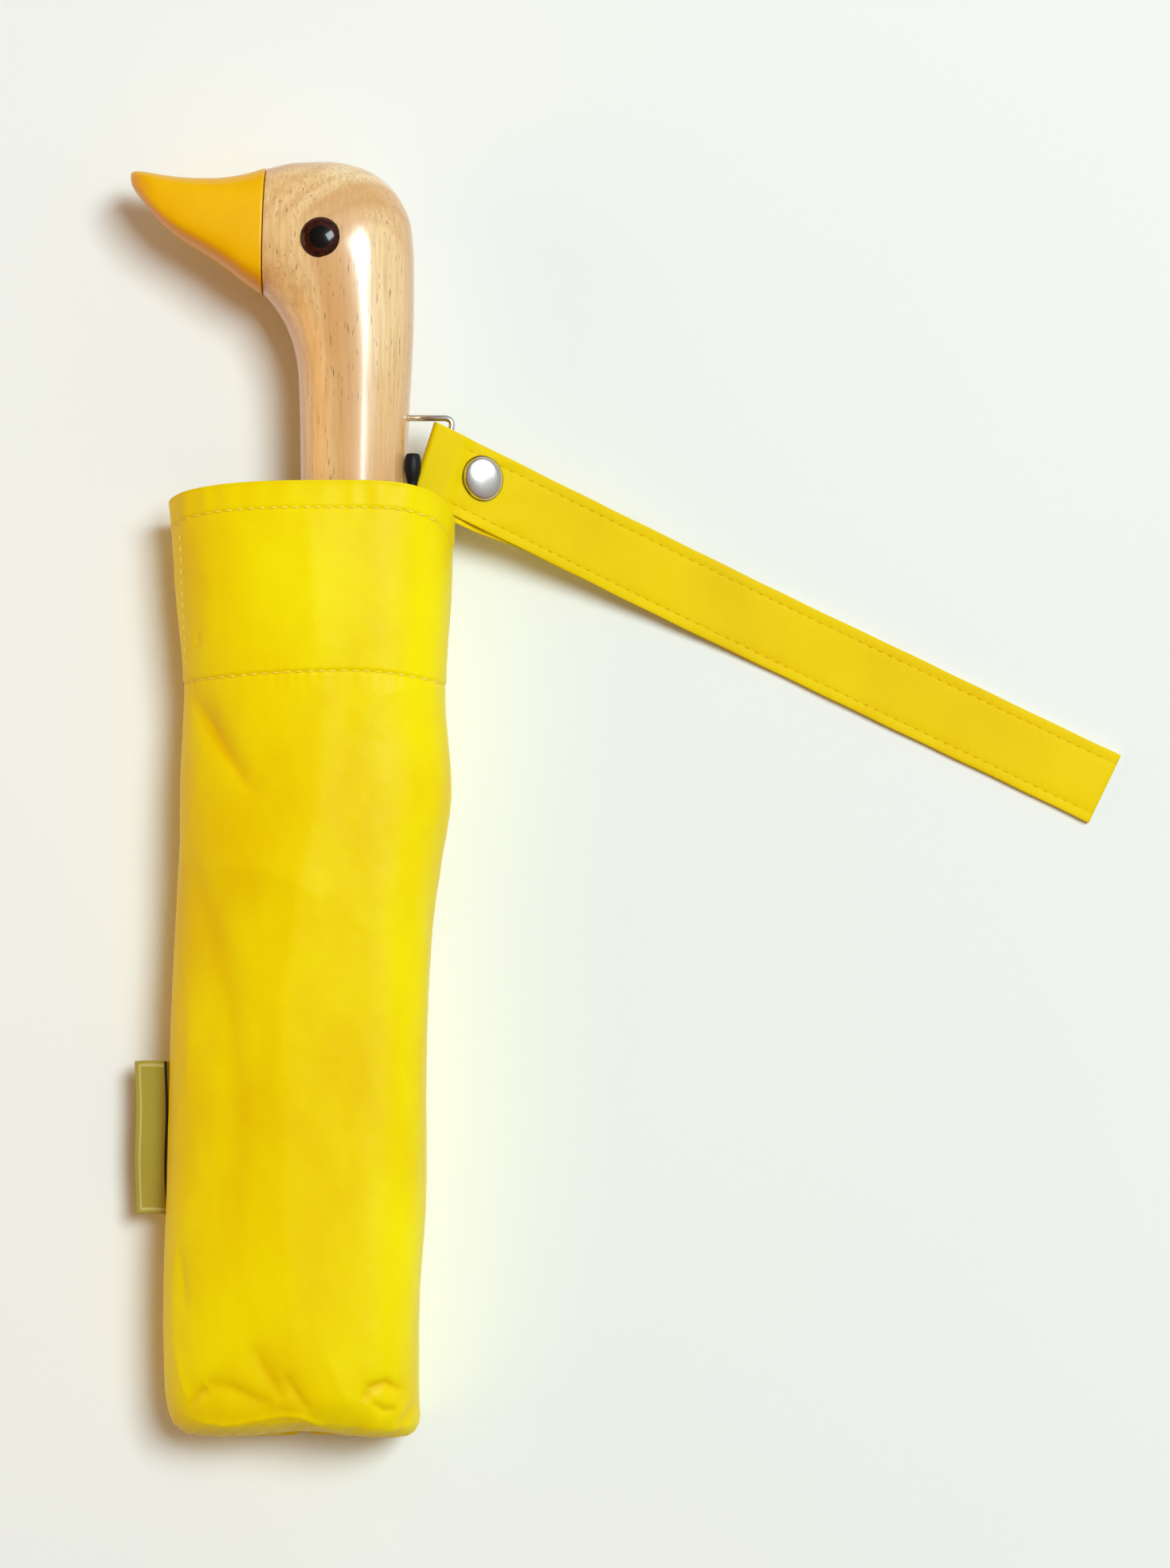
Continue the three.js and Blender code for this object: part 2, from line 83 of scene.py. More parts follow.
def add_light(name, direction, distance, size, watts, colour):
    """A soft rectangle of light, in metres and watts, turned toward the umbrella."""
    data = bpy.data.lights.new(name, "AREA")
    data.shape = "RECTANGLE"
    data.size = size[0]
    data.size_y = size[1]
    data.energy = watts
    data.color = colour
    light = bpy.data.objects.new(name, data)
    light.location = LIGHT_AIM + Vector(direction).normalized() * distance
    light.rotation_euler = (LIGHT_AIM - light.location).to_track_quat("-Z", "Y").to_euler()
    bpy.context.scene.collection.objects.link(light)


def add_world(strength, pale, warm):
    """Soft light from all round: pale overhead and to the right, warm low down on the left."""
    world = bpy.data.worlds.new("studio")
    world.use_nodes = True
    tree = world.node_tree
    direction = tree.nodes.new("ShaderNodeTexCoord").outputs["Generated"]
    toward = tree.nodes.new("ShaderNodeVectorMath")
    toward.operation = "DOT_PRODUCT"
    toward.inputs[1].default_value = PALE_SIDE
    blend = tree.nodes.new("ShaderNodeValToRGB")
    low, high = blend.color_ramp.elements
    low.position, low.color = 0.16, (*warm, 1.0)
    high.position, high.color = 0.86, (*pale, 1.0)
    tree.links.new(direction, toward.inputs[0])
    tree.links.new(toward.outputs["Value"], blend.inputs["Fac"])
    background = tree.nodes["Background"]
    background.inputs["Strength"].default_value = strength
    tree.links.new(blend.outputs["Color"], background.inputs["Color"])
    bpy.context.scene.world = world


# ---- material helpers


class Shader:
    """A Principled material, with short names for the nodes that feed it."""

    def __init__(self, name, colour, roughness, **fixed):
        self.material = bpy.data.materials.new(name)
        self.material.use_nodes = True
        self.tree = self.material.node_tree
        self.bsdf = self.tree.nodes["Principled BSDF"]
        self.bsdf.inputs["Base Color"].default_value = (*colour, 1.0)
        self.bsdf.inputs["Roughness"].default_value = roughness
        for key, value in fixed.items():
            self.bsdf.inputs[key.replace("_", " ")].default_value = value
        self.material.diffuse_color = (*colour, 1.0)
        self.place = self.node("ShaderNodeTexCoord").outputs["Object"]

    def node(self, kind, **settings):
        made = self.tree.nodes.new(kind)
        for key, value in settings.items():
            setattr(made, key, value)
        return made

    def link(self, source, target):
        self.tree.links.new(source, target)

    def scaled(self, scale, turn=(0, 0, 0), move=(0, 0, 0)):
        """The object's own coordinates, in metres, scaled, turned and moved."""
        mapping = self.node("ShaderNodeMapping")
        mapping.inputs["Scale"].default_value = scale
        mapping.inputs["Rotation"].default_value = turn
        mapping.inputs["Location"].default_value = move
        self.link(self.place, mapping.inputs["Vector"])
        return mapping.outputs["Vector"]

    def noise(self, vector, scale, detail=2.0, rough=0.5, distortion=0.0):
        made = self.node("ShaderNodeTexNoise")
        made.inputs["Scale"].default_value = scale
        made.inputs["Detail"].default_value = detail
        made.inputs["Roughness"].default_value = rough
        made.inputs["Distortion"].default_value = distortion
        self.link(vector, made.inputs["Vector"])
        return made.outputs["Fac"]

    def wave(self, vector, scale, direction, distortion, detail=1.0):
        made = self.node("ShaderNodeTexWave", bands_direction=direction)
        made.inputs["Scale"].default_value = scale
        made.inputs["Distortion"].default_value = distortion
        made.inputs["Detail"].default_value = detail
        self.link(vector, made.inputs["Vector"])
        return made.outputs["Fac"]

    def rings(self, vector, axis, scale, distortion, detail_scale):
        """Growth rings about an axis through the vector's origin."""
        made = self.node("ShaderNodeTexWave", wave_type="RINGS", rings_direction=axis)
        made.inputs["Scale"].default_value = scale
        made.inputs["Distortion"].default_value = distortion
        made.inputs["Detail"].default_value = 2
        made.inputs["Detail Scale"].default_value = detail_scale
        self.link(vector, made.inputs["Vector"])
        return made.outputs["Fac"]

    def ramp(self, source, *stops):
        """Colours (or plain values) blended between stops of (place, colour)."""
        made = self.node("ShaderNodeValToRGB")
        elements = made.color_ramp.elements
        while len(elements) < len(stops):
            elements.new(0.5)
        for element, (at, colour) in zip(elements, stops):
            element.position = at
            element.color = (*colour, 1.0) if isinstance(colour, tuple) else (colour, colour, colour, 1.0)
        self.link(source, made.inputs["Fac"])
        return made.outputs["Color"]

    def maths(self, operation, first, second):
        made = self.node("ShaderNodeMath", operation=operation)
        for socket, value in zip(made.inputs, (first, second)):
            if isinstance(value, (int, float)):
                socket.default_value = value
            else:
                self.link(value, socket)
        return made.outputs[0]

    def times(self, first, second):
        return self.maths("MULTIPLY", first, second)

    def mix(self, share, first, second):
        made = self.node("ShaderNodeMix", data_type="RGBA")
        if isinstance(share, (int, float)):
            made.inputs[0].default_value = share
        else:
            self.link(share, made.inputs[0])
        for socket, value in zip((made.inputs[6], made.inputs[7]), (first, second)):
            if isinstance(value, tuple):
                socket.default_value = (*value, 1.0)
            else:
                self.link(value, socket)
        return made.outputs[2]

    def colour(self, source):
        self.link(source, self.bsdf.inputs["Base Color"])

    def rough(self, source, low, high):
        spread = self.node("ShaderNodeMapRange")
        spread.inputs["To Min"].default_value = low
        spread.inputs["To Max"].default_value = high
        self.link(source, spread.inputs["Value"])
        self.link(spread.outputs["Result"], self.bsdf.inputs["Roughness"])

    def bump(self, *layers):
        """Each layer is (height, strength, distance in mm)."""
        normal = None
        for height, strength, distance in layers:
            made = self.node("ShaderNodeBump")
            made.inputs["Strength"].default_value = strength
            made.inputs["Distance"].default_value = distance * MM
            self.link(height, made.inputs["Height"])
            if normal:
                self.link(normal, made.inputs["Normal"])
            normal = made.outputs["Normal"]
        self.link(normal, self.bsdf.inputs["Normal"])

    def attribute(self, name):
        made = self.node("ShaderNodeAttribute", attribute_name=name)
        return made.outputs["Fac"]


def linear(red, green, blue):
    """A colour of 0 to 255 display values, as linear light."""
    shares = [value / 255 for value in (red, green, blue)]
    return tuple(s / 12.92 if s <= 0.04045 else ((s + 0.055) / 1.055) ** 2.4 for s in shares)


def wood_material():
    made = Shader("varnished_wood", linear(246, 208, 148), 0.36, Coat_Weight=0.85, Coat_Roughness=0.17)
    broad = made.noise(made.scaled((1.0, 0.35, 1.0)), 45, detail=3)
    base = made.ramp(broad, (0.32, linear(240, 196, 133)), (0.68, linear(253, 224, 170)))
    # growth rings about a line beside the neck show as broad stripes along it
    beside_neck = made.scaled((1.0, 0.16, 0.7), turn=(0.10, 0, 0.16), move=(0.024, 0, 0.03))
    stripes = made.ramp(made.rings(beside_neck, "Y", 34, 1.6, 0.6), (0.42, 0.0), (0.92, 0.78))
    striped = made.mix(stripes, base, linear(216, 158, 94))
    # rings about a line up through the neck show as faint arcs on the crown of the head
    through_neck = made.scaled((0.9, 0.9, 0.3), turn=(0.25, -0.15, 0), move=(0.004, -0.153, 0.0))
    arcs = made.ramp(made.rings(through_neck, "Z", 74, 4.5, 0.5), (0.40, 0.0), (1.0, 0.42))
    uneven = made.ramp(made.noise(made.place, 110, detail=2), (0.35, 0.15), (0.65, 1.0))
    arcs_shown = made.times(uneven, made.times(arcs, made.attribute("crown")))
    ringed = made.mix(arcs_shown, striped, linear(206, 144, 82))
    streak = made.noise(made.scaled((1.0, 0.05, 1.0)), 1100, detail=3, rough=0.6)
    streaked = made.mix(made.ramp(streak, (0.42, 0.0), (0.66, 0.52)), ringed, linear(210, 156, 96))
    warmed = made.mix(made.times(made.attribute("warm"), 0.62), streaked, linear(222, 150, 72))
    # pores: the middles of long thin cells, in two sizes, where a slow noise lets them show
    dashes = []
    for scale in (950, 1450):
        field = made.node("ShaderNodeTexVoronoi", feature="F1")
        field.inputs["Scale"].default_value = scale
        made.link(made.scaled((1.0, 0.11, 1.0)), field.inputs["Vector"])
        dashes.append(made.ramp(field.outputs["Distance"], (0.08, 1.0), (0.18, 0.0)))
    scatter = made.ramp(made.noise(made.scaled((1.0, 0.3, 1.0)), 95, detail=3), (0.36, 0.0), (0.54, 1.0))
    pores = made.times(made.maths("MAXIMUM", *dashes), scatter)
    made.colour(made.mix(made.times(pores, 0.78), warmed, linear(128, 76, 36)))
    made.rough(streak, 0.32, 0.42)
    made.bump((made.maths("SUBTRACT", 1.0, pores), 0.12, 0.03))
    return made.material


def beak_material():
    coat = {"Coat_Weight": 0.22, "Coat_Roughness": 0.16}
    made = Shader("beak_paint", linear(244, 184, 1), 0.42, Specular_IOR_Level=0.2, **coat)
    broad = made.noise(made.place, 60, detail=3)
    fine = made.noise(made.scaled((0.35, 1.0, 1.0)), 700, detail=3)
    worn = made.ramp(broad, (0.3, linear(242, 178, 0)), (0.7, linear(247, 192, 2)))
    # painted shade: the lower edge and the tip, turned from the light, are mixed toward a darker orange
    made.colour(made.mix(made.times(made.attribute("painted_dark_rim"), 0.75), worn, linear(224, 138, 0)))
    made.rough(fine, 0.30, 0.42)
    made.bump((fine, 0.08, 0.05), (broad, 0.10, 0.3))
    return made.material


def eye_material():
    coat = {"Coat_Weight": 0.42, "Coat_Roughness": 0.09}
    made = Shader("glass_eye", linear(52, 20, 12), 0.3, Specular_IOR_Level=0.05, **coat)
    mottle = made.noise(made.place, 900, detail=3)
    ring = made.ramp(mottle, (0.35, linear(42, 14, 10)), (0.7, linear(70, 30, 20)))
    made.colour(made.mix(made.attribute("pupil"), ring, linear(6, 5, 5)))
    return made.material


def steel_material(name, colour, low, high, grain=(900, 30, 900)):
    """Metal between two roughnesses, with a fine grain and a painted dark reflection and shade where the
    mesh marks it.
    """
    made = Shader(name, colour, (low + high) / 2, Metallic=1.0)
    drawn = made.noise(made.scaled(grain), 1.0, detail=3)
    smudge = made.noise(made.place, 90, detail=3)
    # painted reflection and shade: marked points are mixed toward a dark brown
    made.colour(made.mix(made.times(made.attribute("painted_dark_rim"), 0.9), colour, linear(66, 50, 36)))
    made.rough(made.mix(0.5, drawn, smudge), low, high)
    made.bump((drawn, 0.05, 0.02))
    return made.material


def black_plastic_material():
    made = Shader("black_plastic", linear(16, 16, 16), 0.5, Specular_IOR_Level=0.25)
    grain = made.noise(made.place, 2600, detail=2)
    smudge = made.noise(made.place, 140, detail=3)
    made.colour(made.ramp(smudge, (0.3, linear(11, 11, 11)), (0.75, linear(22, 22, 22))))
    made.rough(smudge, 0.42, 0.58)
    made.bump((grain, 0.25, 0.04))
    return made.material


# painted shade: the darker orange of the folds' valleys
CREASE_SHADE = linear(222, 156, 0)


def cloth_material(name, colour, deep, light, threads_per_mm=3.4, shine=0.09, rough=0.42):
    """Plain-weave nylon: crossed threads from two waves, a faint sheen, slow colour variation and painted
    shade in the seams and the folds' valleys.
    """
    made = Shader(
        name, colour, rough, Sheen_Weight=0.02, Sheen_Roughness=0.4, Specular_IOR_Level=shine
    )
    made.bsdf.inputs["Sheen Tint"].default_value = (1.0, 0.93, 0.55, 1.0)
    wave_scale = threads_per_mm / MM / 20 * math.pi
    warp = made.wave(made.place, wave_scale, "X", distortion=0.6)
    weft = made.wave(made.place, wave_scale, "Y", distortion=0.6)
    weave = made.times(warp, weft)
    slow = made.noise(made.scaled((1.0, 0.6, 1.0)), 28, detail=4, rough=0.55)
    thread = made.noise(made.scaled((0.25, 4.0, 1.0)), 1300, detail=1)
    rumple = made.noise(made.scaled((1.0, 0.7, 1.0)), 130, detail=4, rough=0.6, distortion=0.5)
    toned = made.ramp(slow, (0.3, deep), (0.72, light))
    # painted shade: the seams' grooves are mixed toward the deep colour
    seam_shaded_tone = made.mix(made.ramp(made.attribute("fold"), (0.0, 0.0), (1.0, 1.0)), toned, deep)
    # painted shade: the folds' valleys are mixed toward a darker orange
    creased = made.mix(made.times(made.attribute("painted_crease_shade"), 0.62), seam_shaded_tone, CREASE_SHADE)
    made.colour(made.mix(made.times(thread, 0.10), creased, light))
    made.rough(slow, rough - 0.04, rough + 0.04)
    made.bump((rumple, 0.16, 0.5), (weave, 0.14, 0.05), (thread, 0.05, 0.05))
    return made.material


def label_material():
    made = Shader("woven_label", linear(160, 150, 60), 0.85, Sheen_Weight=0.3)
    threads = made.wave(made.place, 820, "DIAGONAL", distortion=0.6, detail=2.0)
    rows = made.wave(made.place, 1300, "Y", distortion=0.4)
    body = made.mix(threads, linear(140, 124, 18), linear(192, 178, 64))
    bordered = made.mix(made.attribute("pattern"), body, linear(224, 216, 150))
    made.colour(made.mix(made.attribute("selvedge"), bordered, linear(26, 24, 12)))
    made.bump((threads, 0.5, 0.12), (rows, 0.3, 0.06))
    return made.material


def floor_material():
    made = Shader("pale_floor", linear(243, 244, 240), 0.75, Specular_IOR_Level=0.2)
    slow = made.noise(made.place, 3.0, detail=2)
    made.colour(made.ramp(slow, (0.3, linear(241, 242, 238)), (0.7, linear(244, 245, 241))))
    return made.material


# ---- mesh helpers


def smooth_rows(rows, at):
    """Rows of (place, values...) read at each place in `at`, along a curve that doesn't overshoot."""
    table = np.array(rows, float)
    x, y = table[:, 0], table[:, 1:]
    step = np.diff(x)[:, None]
    slope = np.diff(y, axis=0) / step
    tangent = np.zeros_like(y)
    tangent[0], tangent[-1] = slope[0], slope[-1]
    same = slope[1:] * slope[:-1] > 0
    harmonic = 2 * slope[1:] * slope[:-1] / np.where(same, slope[1:] + slope[:-1], 1)
    tangent[1:-1] = np.where(same, harmonic, 0)
    at = np.clip(np.asarray(at, float), x[0], x[-1])
    i = np.clip(np.searchsorted(x, at) - 1, 0, len(x) - 2)
    t = ((at - x[i]) / (x[i + 1] - x[i]))[..., None]
    h = (x[i + 1] - x[i])[..., None]
    return (
        (2 * t**3 - 3 * t**2 + 1) * y[i]
        + (t**3 - 2 * t**2 + t) * h * tangent[i]
        + (3 * t**2 - 2 * t**3) * y[i + 1]
        + (t**3 - t**2) * h * tangent[i + 1]
    )


def signed_power(value, power):
    return np.sign(value) * np.abs(value) ** power


def circle(count):
    return np.linspace(0, 2 * np.pi, count, endpoint=False)


def nearest_on_route(points, route):
    """Of each point in plan: how far the route is, the same signed by side, and the share of the way."""
    route = np.array(route, float)
    best = np.full(points.shape[:-1], 1e9)
    signed, share = np.zeros(best.shape), np.zeros(best.shape)
    for i, (a, b) in enumerate(zip(route, route[1:])):
        run = b - a
        from_a = points[..., :2] - a
        t = np.clip((from_a @ run) / (run @ run), 0, 1)
        away = np.hypot(*np.moveaxis(from_a - t[..., None] * run, -1, 0))
        side = run[0] * from_a[..., 1] - run[1] * from_a[..., 0]
        closer = away < best
        best = np.where(closer, away, best)
        signed = np.where(closer, away * np.sign(side), signed)
        share = np.where(closer, (i + t) / (len(route) - 1), share)
    return best, signed, share


def bell(distance, width):
    return np.exp(-((distance / width) ** 2))


def ease(value, low, high):
    t = np.clip((value - low) / (high - low), 0, 1)
    return t * t * (3 - 2 * t)


def make_mesh(name, points, faces, material, smooth=True):
    data = bpy.data.meshes.new(name)
    data.from_pydata((np.asarray(points, float) * MM).tolist(), [], faces)
    data.validate()
    data.update()
    data.polygons.foreach_set("use_smooth", [smooth] * len(data.polygons))
    data.materials.append(material)
    piece = bpy.data.objects.new(name, data)
    bpy.context.scene.collection.objects.link(piece)
    return piece


def grid_faces(rows, around, wrap_rows=False, wrap_around=True):
    """Four-sided faces between rows of points, each row closed into a ring unless told not to."""
    faces = []
    for i in range(rows if wrap_rows else rows - 1):
        low, high = i * around, ((i + 1) % rows) * around
        for j in range(around if wrap_around else around - 1):
            k = (j + 1) % around
            faces.append((low + j, low + k, high + k, high + j))
    return faces


def loft(name, rings, material):
    """A closed skin through rings of equal point counts, with a fan over each end.

    The middles of the two fans are the last two points.
    """
    rings = np.asarray(rings, float)
    count, around = rings.shape[:2]
    points = rings.reshape(-1, 3).tolist()
    faces = grid_faces(count, around)
    for ring, turn in ((0, 1), (count - 1, -1)):
        points.append(rings[ring].mean(axis=0).tolist())
        for j in range(around):
            pair = (ring * around + j, ring * around + (j + 1) % around)
            faces.append((len(points) - 1, *pair[::-turn]))
    piece = make_mesh(name, points, faces, material)
    face_outward(piece)
    return piece


def hoop(name, rings, material):
    """A closed skin through rings of points, with the last ring joined to the first."""
    rings = np.array(rings)
    faces = grid_faces(*rings.shape[:2], wrap_rows=True)
    piece = make_mesh(name, rings.reshape(-1, 3), faces, material)
    face_outward(piece)
    return piece


def face_outward(piece):
    """Turns the faces over if the closed mesh's volume comes out negative."""
    data = piece.data
    data.calc_loop_triangles()
    corners = np.array([v.co for v in data.vertices], float)
    triangles = np.array([t.vertices for t in data.loop_triangles])
    a, b, c = (corners[triangles[:, i]] for i in range(3))
    if np.einsum("ij,ij->i", a, np.cross(b, c)).sum() < 0:
        data.flip_normals()


def mark(piece, name, values):
    """A value at each point that the material reads."""
    attribute = piece.data.attributes.new(name, "FLOAT", "POINT")
    attribute.data.foreach_set("value", np.asarray(values, np.float32).ravel())


def points_of(piece):
    """The mesh's points in mm, as rows."""
    flat = np.zeros(len(piece.data.vertices) * 3)
    piece.data.vertices.foreach_get("co", flat)
    return flat.reshape(-1, 3) / MM


def bevelled(piece, width):
    made = piece.modifiers.new("bevel", "BEVEL")
    made.width = width * MM
    made.segments = 3
    made.limit_method = "ANGLE"
    made.angle_limit = math.radians(35)


def apply_modifiers(piece):
    bpy.context.view_layer.update()
    evaluated = piece.evaluated_get(bpy.context.evaluated_depsgraph_get())
    piece.data = bpy.data.meshes.new_from_object(evaluated)
    piece.modifiers.clear()


def joined(pieces, name):
    """Several meshes of one material, as one piece."""
    points, faces = [], []
    for piece in pieces:
        first = len(points)
        points += [tuple(v.co) for v in piece.data.vertices]
        faces += [tuple(first + i for i in p.vertices) for p in piece.data.polygons]
    material = pieces[0].data.materials[0]
    for piece in pieces:
        bpy.data.objects.remove(piece)
    return make_mesh(name, np.array(points) / MM, faces, material)


def finish_piece(piece, body, slot, *nodes):
    """Fixes the piece to its body, in place of the CAD nodes named. The slot is not used."""
    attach(piece, body)
    if nodes:
        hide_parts(*nodes)


def noise_field(points, scale, seed=0.0, octaves=3):
    """Smooth noise from -1 to 1 at each point; scale is the size of its waves in mm."""
    shift = Vector((seed, seed * 1.7, seed * 0.3))
    flat = np.asarray(points).reshape(-1, 3) / np.asarray(scale)
    values = [noise.fractal(Vector(p) + shift, 0.5, 2.0, octaves) for p in flat.tolist()]
    return np.array(values).reshape(np.asarray(points).shape[:-1])


# ---- the handle

BEAK_PLANE_X = -22.9
HANDLE_BOTTOM_Y = 112.0

# Slices fanned round the chin: share of the way, outer x and y (back and crown), inner x and y
# (throat and chin), half thickness.
HEAD_SLICES = [
    (0.00, 13.3, HANDLE_BOTTOM_Y, -13.7, HANDLE_BOTTOM_Y, 13.5),
    (0.12, 13.6, 127.0, -13.9, 126.0, 13.8),
    (0.26, 14.3, 144.5, -14.1, 141.0, 14.1),
    (0.36, 15.0, 157.0, -14.5, 152.5, 14.5),
    (0.46, 15.4, 169.5, -15.6, 159.5, 14.9),
    (0.55, 15.4, 181.0, -17.2, 164.3, 15.3),
    (0.63, 14.7, 191.0, -18.9, 167.7, 15.6),
    (0.70, 12.1, 197.8, -20.2, 169.7, 15.7),
    (0.77, 7.4, 203.3, -21.3, 171.2, 15.5),
    (0.83, 1.4, 206.5, -22.1, 172.2, 15.2),
    (0.89, -6.6, 208.0, -22.6, 172.8, 14.6),
    (0.95, -15.0, 207.8, -23.0, 173.2, 13.6),
    (1.00, BEAK_PLANE_X + 0.5, 206.3, BEAK_PLANE_X - 0.5, 173.5, 12.7),
]

# Where the wood is made warmer and darker down the throat: a route in plan.
WARM_ROUTE = [(-21.0, 178.0), (-13.0, 170.0), (-9.5, 160.0), (-8.5, 148.0), (-9.0, 126.0)]
CROWN_FADE = (180, 196)  # between these y the rings of the crown fade in


def warm_wood(points):
    """Near 1 along the warm route and 0 away from it, broken up along the grain."""
    away = nearest_on_route(points, WARM_ROUTE)[0]
    return bell(away, 3.6) * (0.65 + 0.35 * noise_field(points * np.array([1, 0.25, 1]), 5.0, seed=8.0))


def build_head(material):
    angle = circle(72)
    across = signed_power(np.cos(angle), 0.93)
    up = signed_power(np.sin(angle), 0.93)
    rings = []
    for ox, oy, ix, iy, half in smooth_rows(HEAD_SLICES, np.linspace(0, 1, 120)):
        middle = np.array([(ox + ix) / 2, (oy + iy) / 2, SHAFT_Z])
        reach = np.array([(ox - ix) / 2, (oy - iy) / 2, 0])
        rings.append(middle + across[:, None] * reach + up[:, None] * np.array([0, 0, half]))
    head = loft("duck_head", rings, material)
    mark(head, "warm", warm_wood(points_of(head)))
    mark(head, "crown", ease(points_of(head)[:, 1], *CROWN_FADE))
    bevelled(head, 0.5)
    finish_piece(head, "handle", "wood", "handle")


BEAK_GAP = 0.3

# Slices of the beak: x, lowest y, highest y, half thickness.
BEAK_SLICES = [
    (-57.8, 203.2, 204.8, 0.9),
    (-57.5, 202.0, 205.3, 2.4),
    (-56.6, 200.4, 205.5, 4.4),
    (-54.9, 198.2, 205.4, 6.4),
    (-52.6, 195.3, 205.0, 8.0),
    (-48.5, 191.0, 204.3, 9.2),
    (-44.4, 187.8, 203.8, 10.0),
    (-40.2, 185.3, 203.6, 10.6),
    (-36.1, 182.7, 203.6, 11.1),
    (-32.0, 179.8, 204.0, 11.6),
    (-27.9, 176.6, 204.8, 12.0),
    (BEAK_PLANE_X - BEAK_GAP, 173.6, 206.2, 12.4),
]
BEAK_LEAN = 0.5  # how far its base leans, with the face of the head


def beak_rim(angle, places):
    """Painted shade: how much darker orange the paint is made along the bevelled lower edge and round the
    tip, turned from the light.
    """
    tip = places[0]
    below = -np.cos(angle)
    lower = ease(below, 0.40, 0.78) * (1 - 0.6 * ease(below, 0.86, 1.0))
    toward_tip = (1 - ease(places, tip + 1.5, tip + 9.0))[:, None] * ease(below, -0.9, 0.2)
    return np.maximum(lower, 0.55 * toward_tip)


def build_beak(material):
    angle = circle(72)
    across = signed_power(np.cos(angle), 0.62)
    up = signed_power(np.sin(angle), 0.66)
    first, last = BEAK_SLICES[0][0], BEAK_SLICES[-1][0]
    places = first + (last - first) * np.linspace(0, 1, 80) ** 1.7  # closer toward the tip
    rings = []
    for x, (low, high, half) in zip(places, smooth_rows(BEAK_SLICES, places)):
        y = (low + high) / 2 + (high - low) / 2 * across
        lean = BEAK_LEAN * across * (x - first) / (last - first)
        rings.append(np.stack([x + lean, y, SHAFT_Z + half * up], axis=1))
    beak = loft("beak_carved", rings, material)
    bevelled(beak, 0.4)
    # painted shade along the bevelled lower edge and round the tip
    mark(beak, "painted_dark_rim", np.append(beak_rim(angle, places), (0.0, 0.0)))
    finish_piece(beak, "handle", "beak_paint", "beak")


EYE_CENTRE = (-7.9, 186.8)
EYE_RADIUS = 5.25
EYE_SEAT, EYE_RIM = 12.2, 15.0  # heights of its foot in the wood and of its edge, from the shaft
EYE_EDGE_ROUND = (0.35, 0.5)  # how far the edge rounds over, inward and upward
EYE_DOME = 1.6
PUPIL_RADIUS = 2.9
PUPIL_BLUR = 0.12


def build_eye(side, material):
    name = "glass_eye_right" if side > 0 else "glass_eye_left"
    node = "eye_right" if side > 0 else "eye_left"
    inward, upward = EYE_EDGE_ROUND
    dome_radius = EYE_RADIUS - inward
    steps = [(EYE_RADIUS, EYE_SEAT), (EYE_RADIUS, EYE_RIM)]
    for a in np.linspace(0.2, math.pi / 2, 5):
        steps.append((dome_radius + inward * math.cos(a), EYE_RIM + upward * math.sin(a)))
    for a in np.linspace(0.05, math.pi / 2 - 0.02, 22):
        steps.append((dome_radius * math.cos(a), EYE_RIM + upward + EYE_DOME * math.sin(a)))
    angle = circle(64)
    rings = []
    for radius, height in steps:
        x = EYE_CENTRE[0] + radius * np.cos(angle)
        y = EYE_CENTRE[1] + radius * np.sin(angle)
        rings.append(np.stack([x, y, np.full(len(angle), SHAFT_Z + side * height)], axis=1))
    eye = loft(name, rings, material)
    offset = points_of(eye)[:, :2] - np.array(EYE_CENTRE)
    from_centre = np.hypot(offset[:, 0], offset[:, 1])
    mark(eye, "pupil", 1 - ease(from_centre, PUPIL_RADIUS - PUPIL_BLUR, PUPIL_RADIUS + PUPIL_BLUR))
    finish_piece(eye, "handle", "eye", node)


WIRE_RADIUS = 0.8
RING_TOP = (25.6, 141.85)
RING_BOTTOM = (20.3, 116.2)
RING_ROOT_X = 8.0  # where both of its legs end, inside the neck
RING_BEND = 2.6


def rounded_route(corners, radius, steps=8):
    """The points of a polyline with its inner corners rounded."""
    corners = [np.array(c, float) for c in corners]
    route = [corners[0]]
    for before, corner, after in zip(corners, corners[1:], corners[2:]):
        start = corner + (before - corner) * radius / np.linalg.norm(before - corner)
        end = corner + (after - corner) * radius / np.linalg.norm(after - corner)
        for t in np.linspace(0, 1, steps):
            route.append((1 - t) ** 2 * start + 2 * t * (1 - t) * corner + t**2 * end)
    return np.array([*route, corners[-1]])


def build_wire_ring(material):
    corners = [(RING_ROOT_X, RING_TOP[1]), RING_TOP, RING_BOTTOM, (RING_ROOT_X, RING_BOTTOM[1])]
    route = rounded_route(corners, RING_BEND)
    ahead = np.gradient(route, axis=0)
    ahead /= np.linalg.norm(ahead, axis=1, keepdims=True)
    angle = circle(20)
    side, up = WIRE_RADIUS * np.cos(angle), WIRE_RADIUS * np.sin(angle)
    rings = []
    for (x, y), (ax, ay) in zip(route, ahead):
        rings.append(np.stack([x - ay * side, y + ax * side, SHAFT_Z + up], axis=1))
    ring = loft("strap_wire", rings, material)
    # painted dark reflection along the wire's two sides, seen from above as dark outlines
    painted_dark_sides = 0.75 * np.abs(np.cos(angle)) ** 4
    mark(ring, "painted_dark_rim", np.append(np.tile(painted_dark_sides, len(rings)), (0.0, 0.0)))
    finish_piece(ring, "handle", "bright_steel", "wire_ring")


# ---- the wrist strap

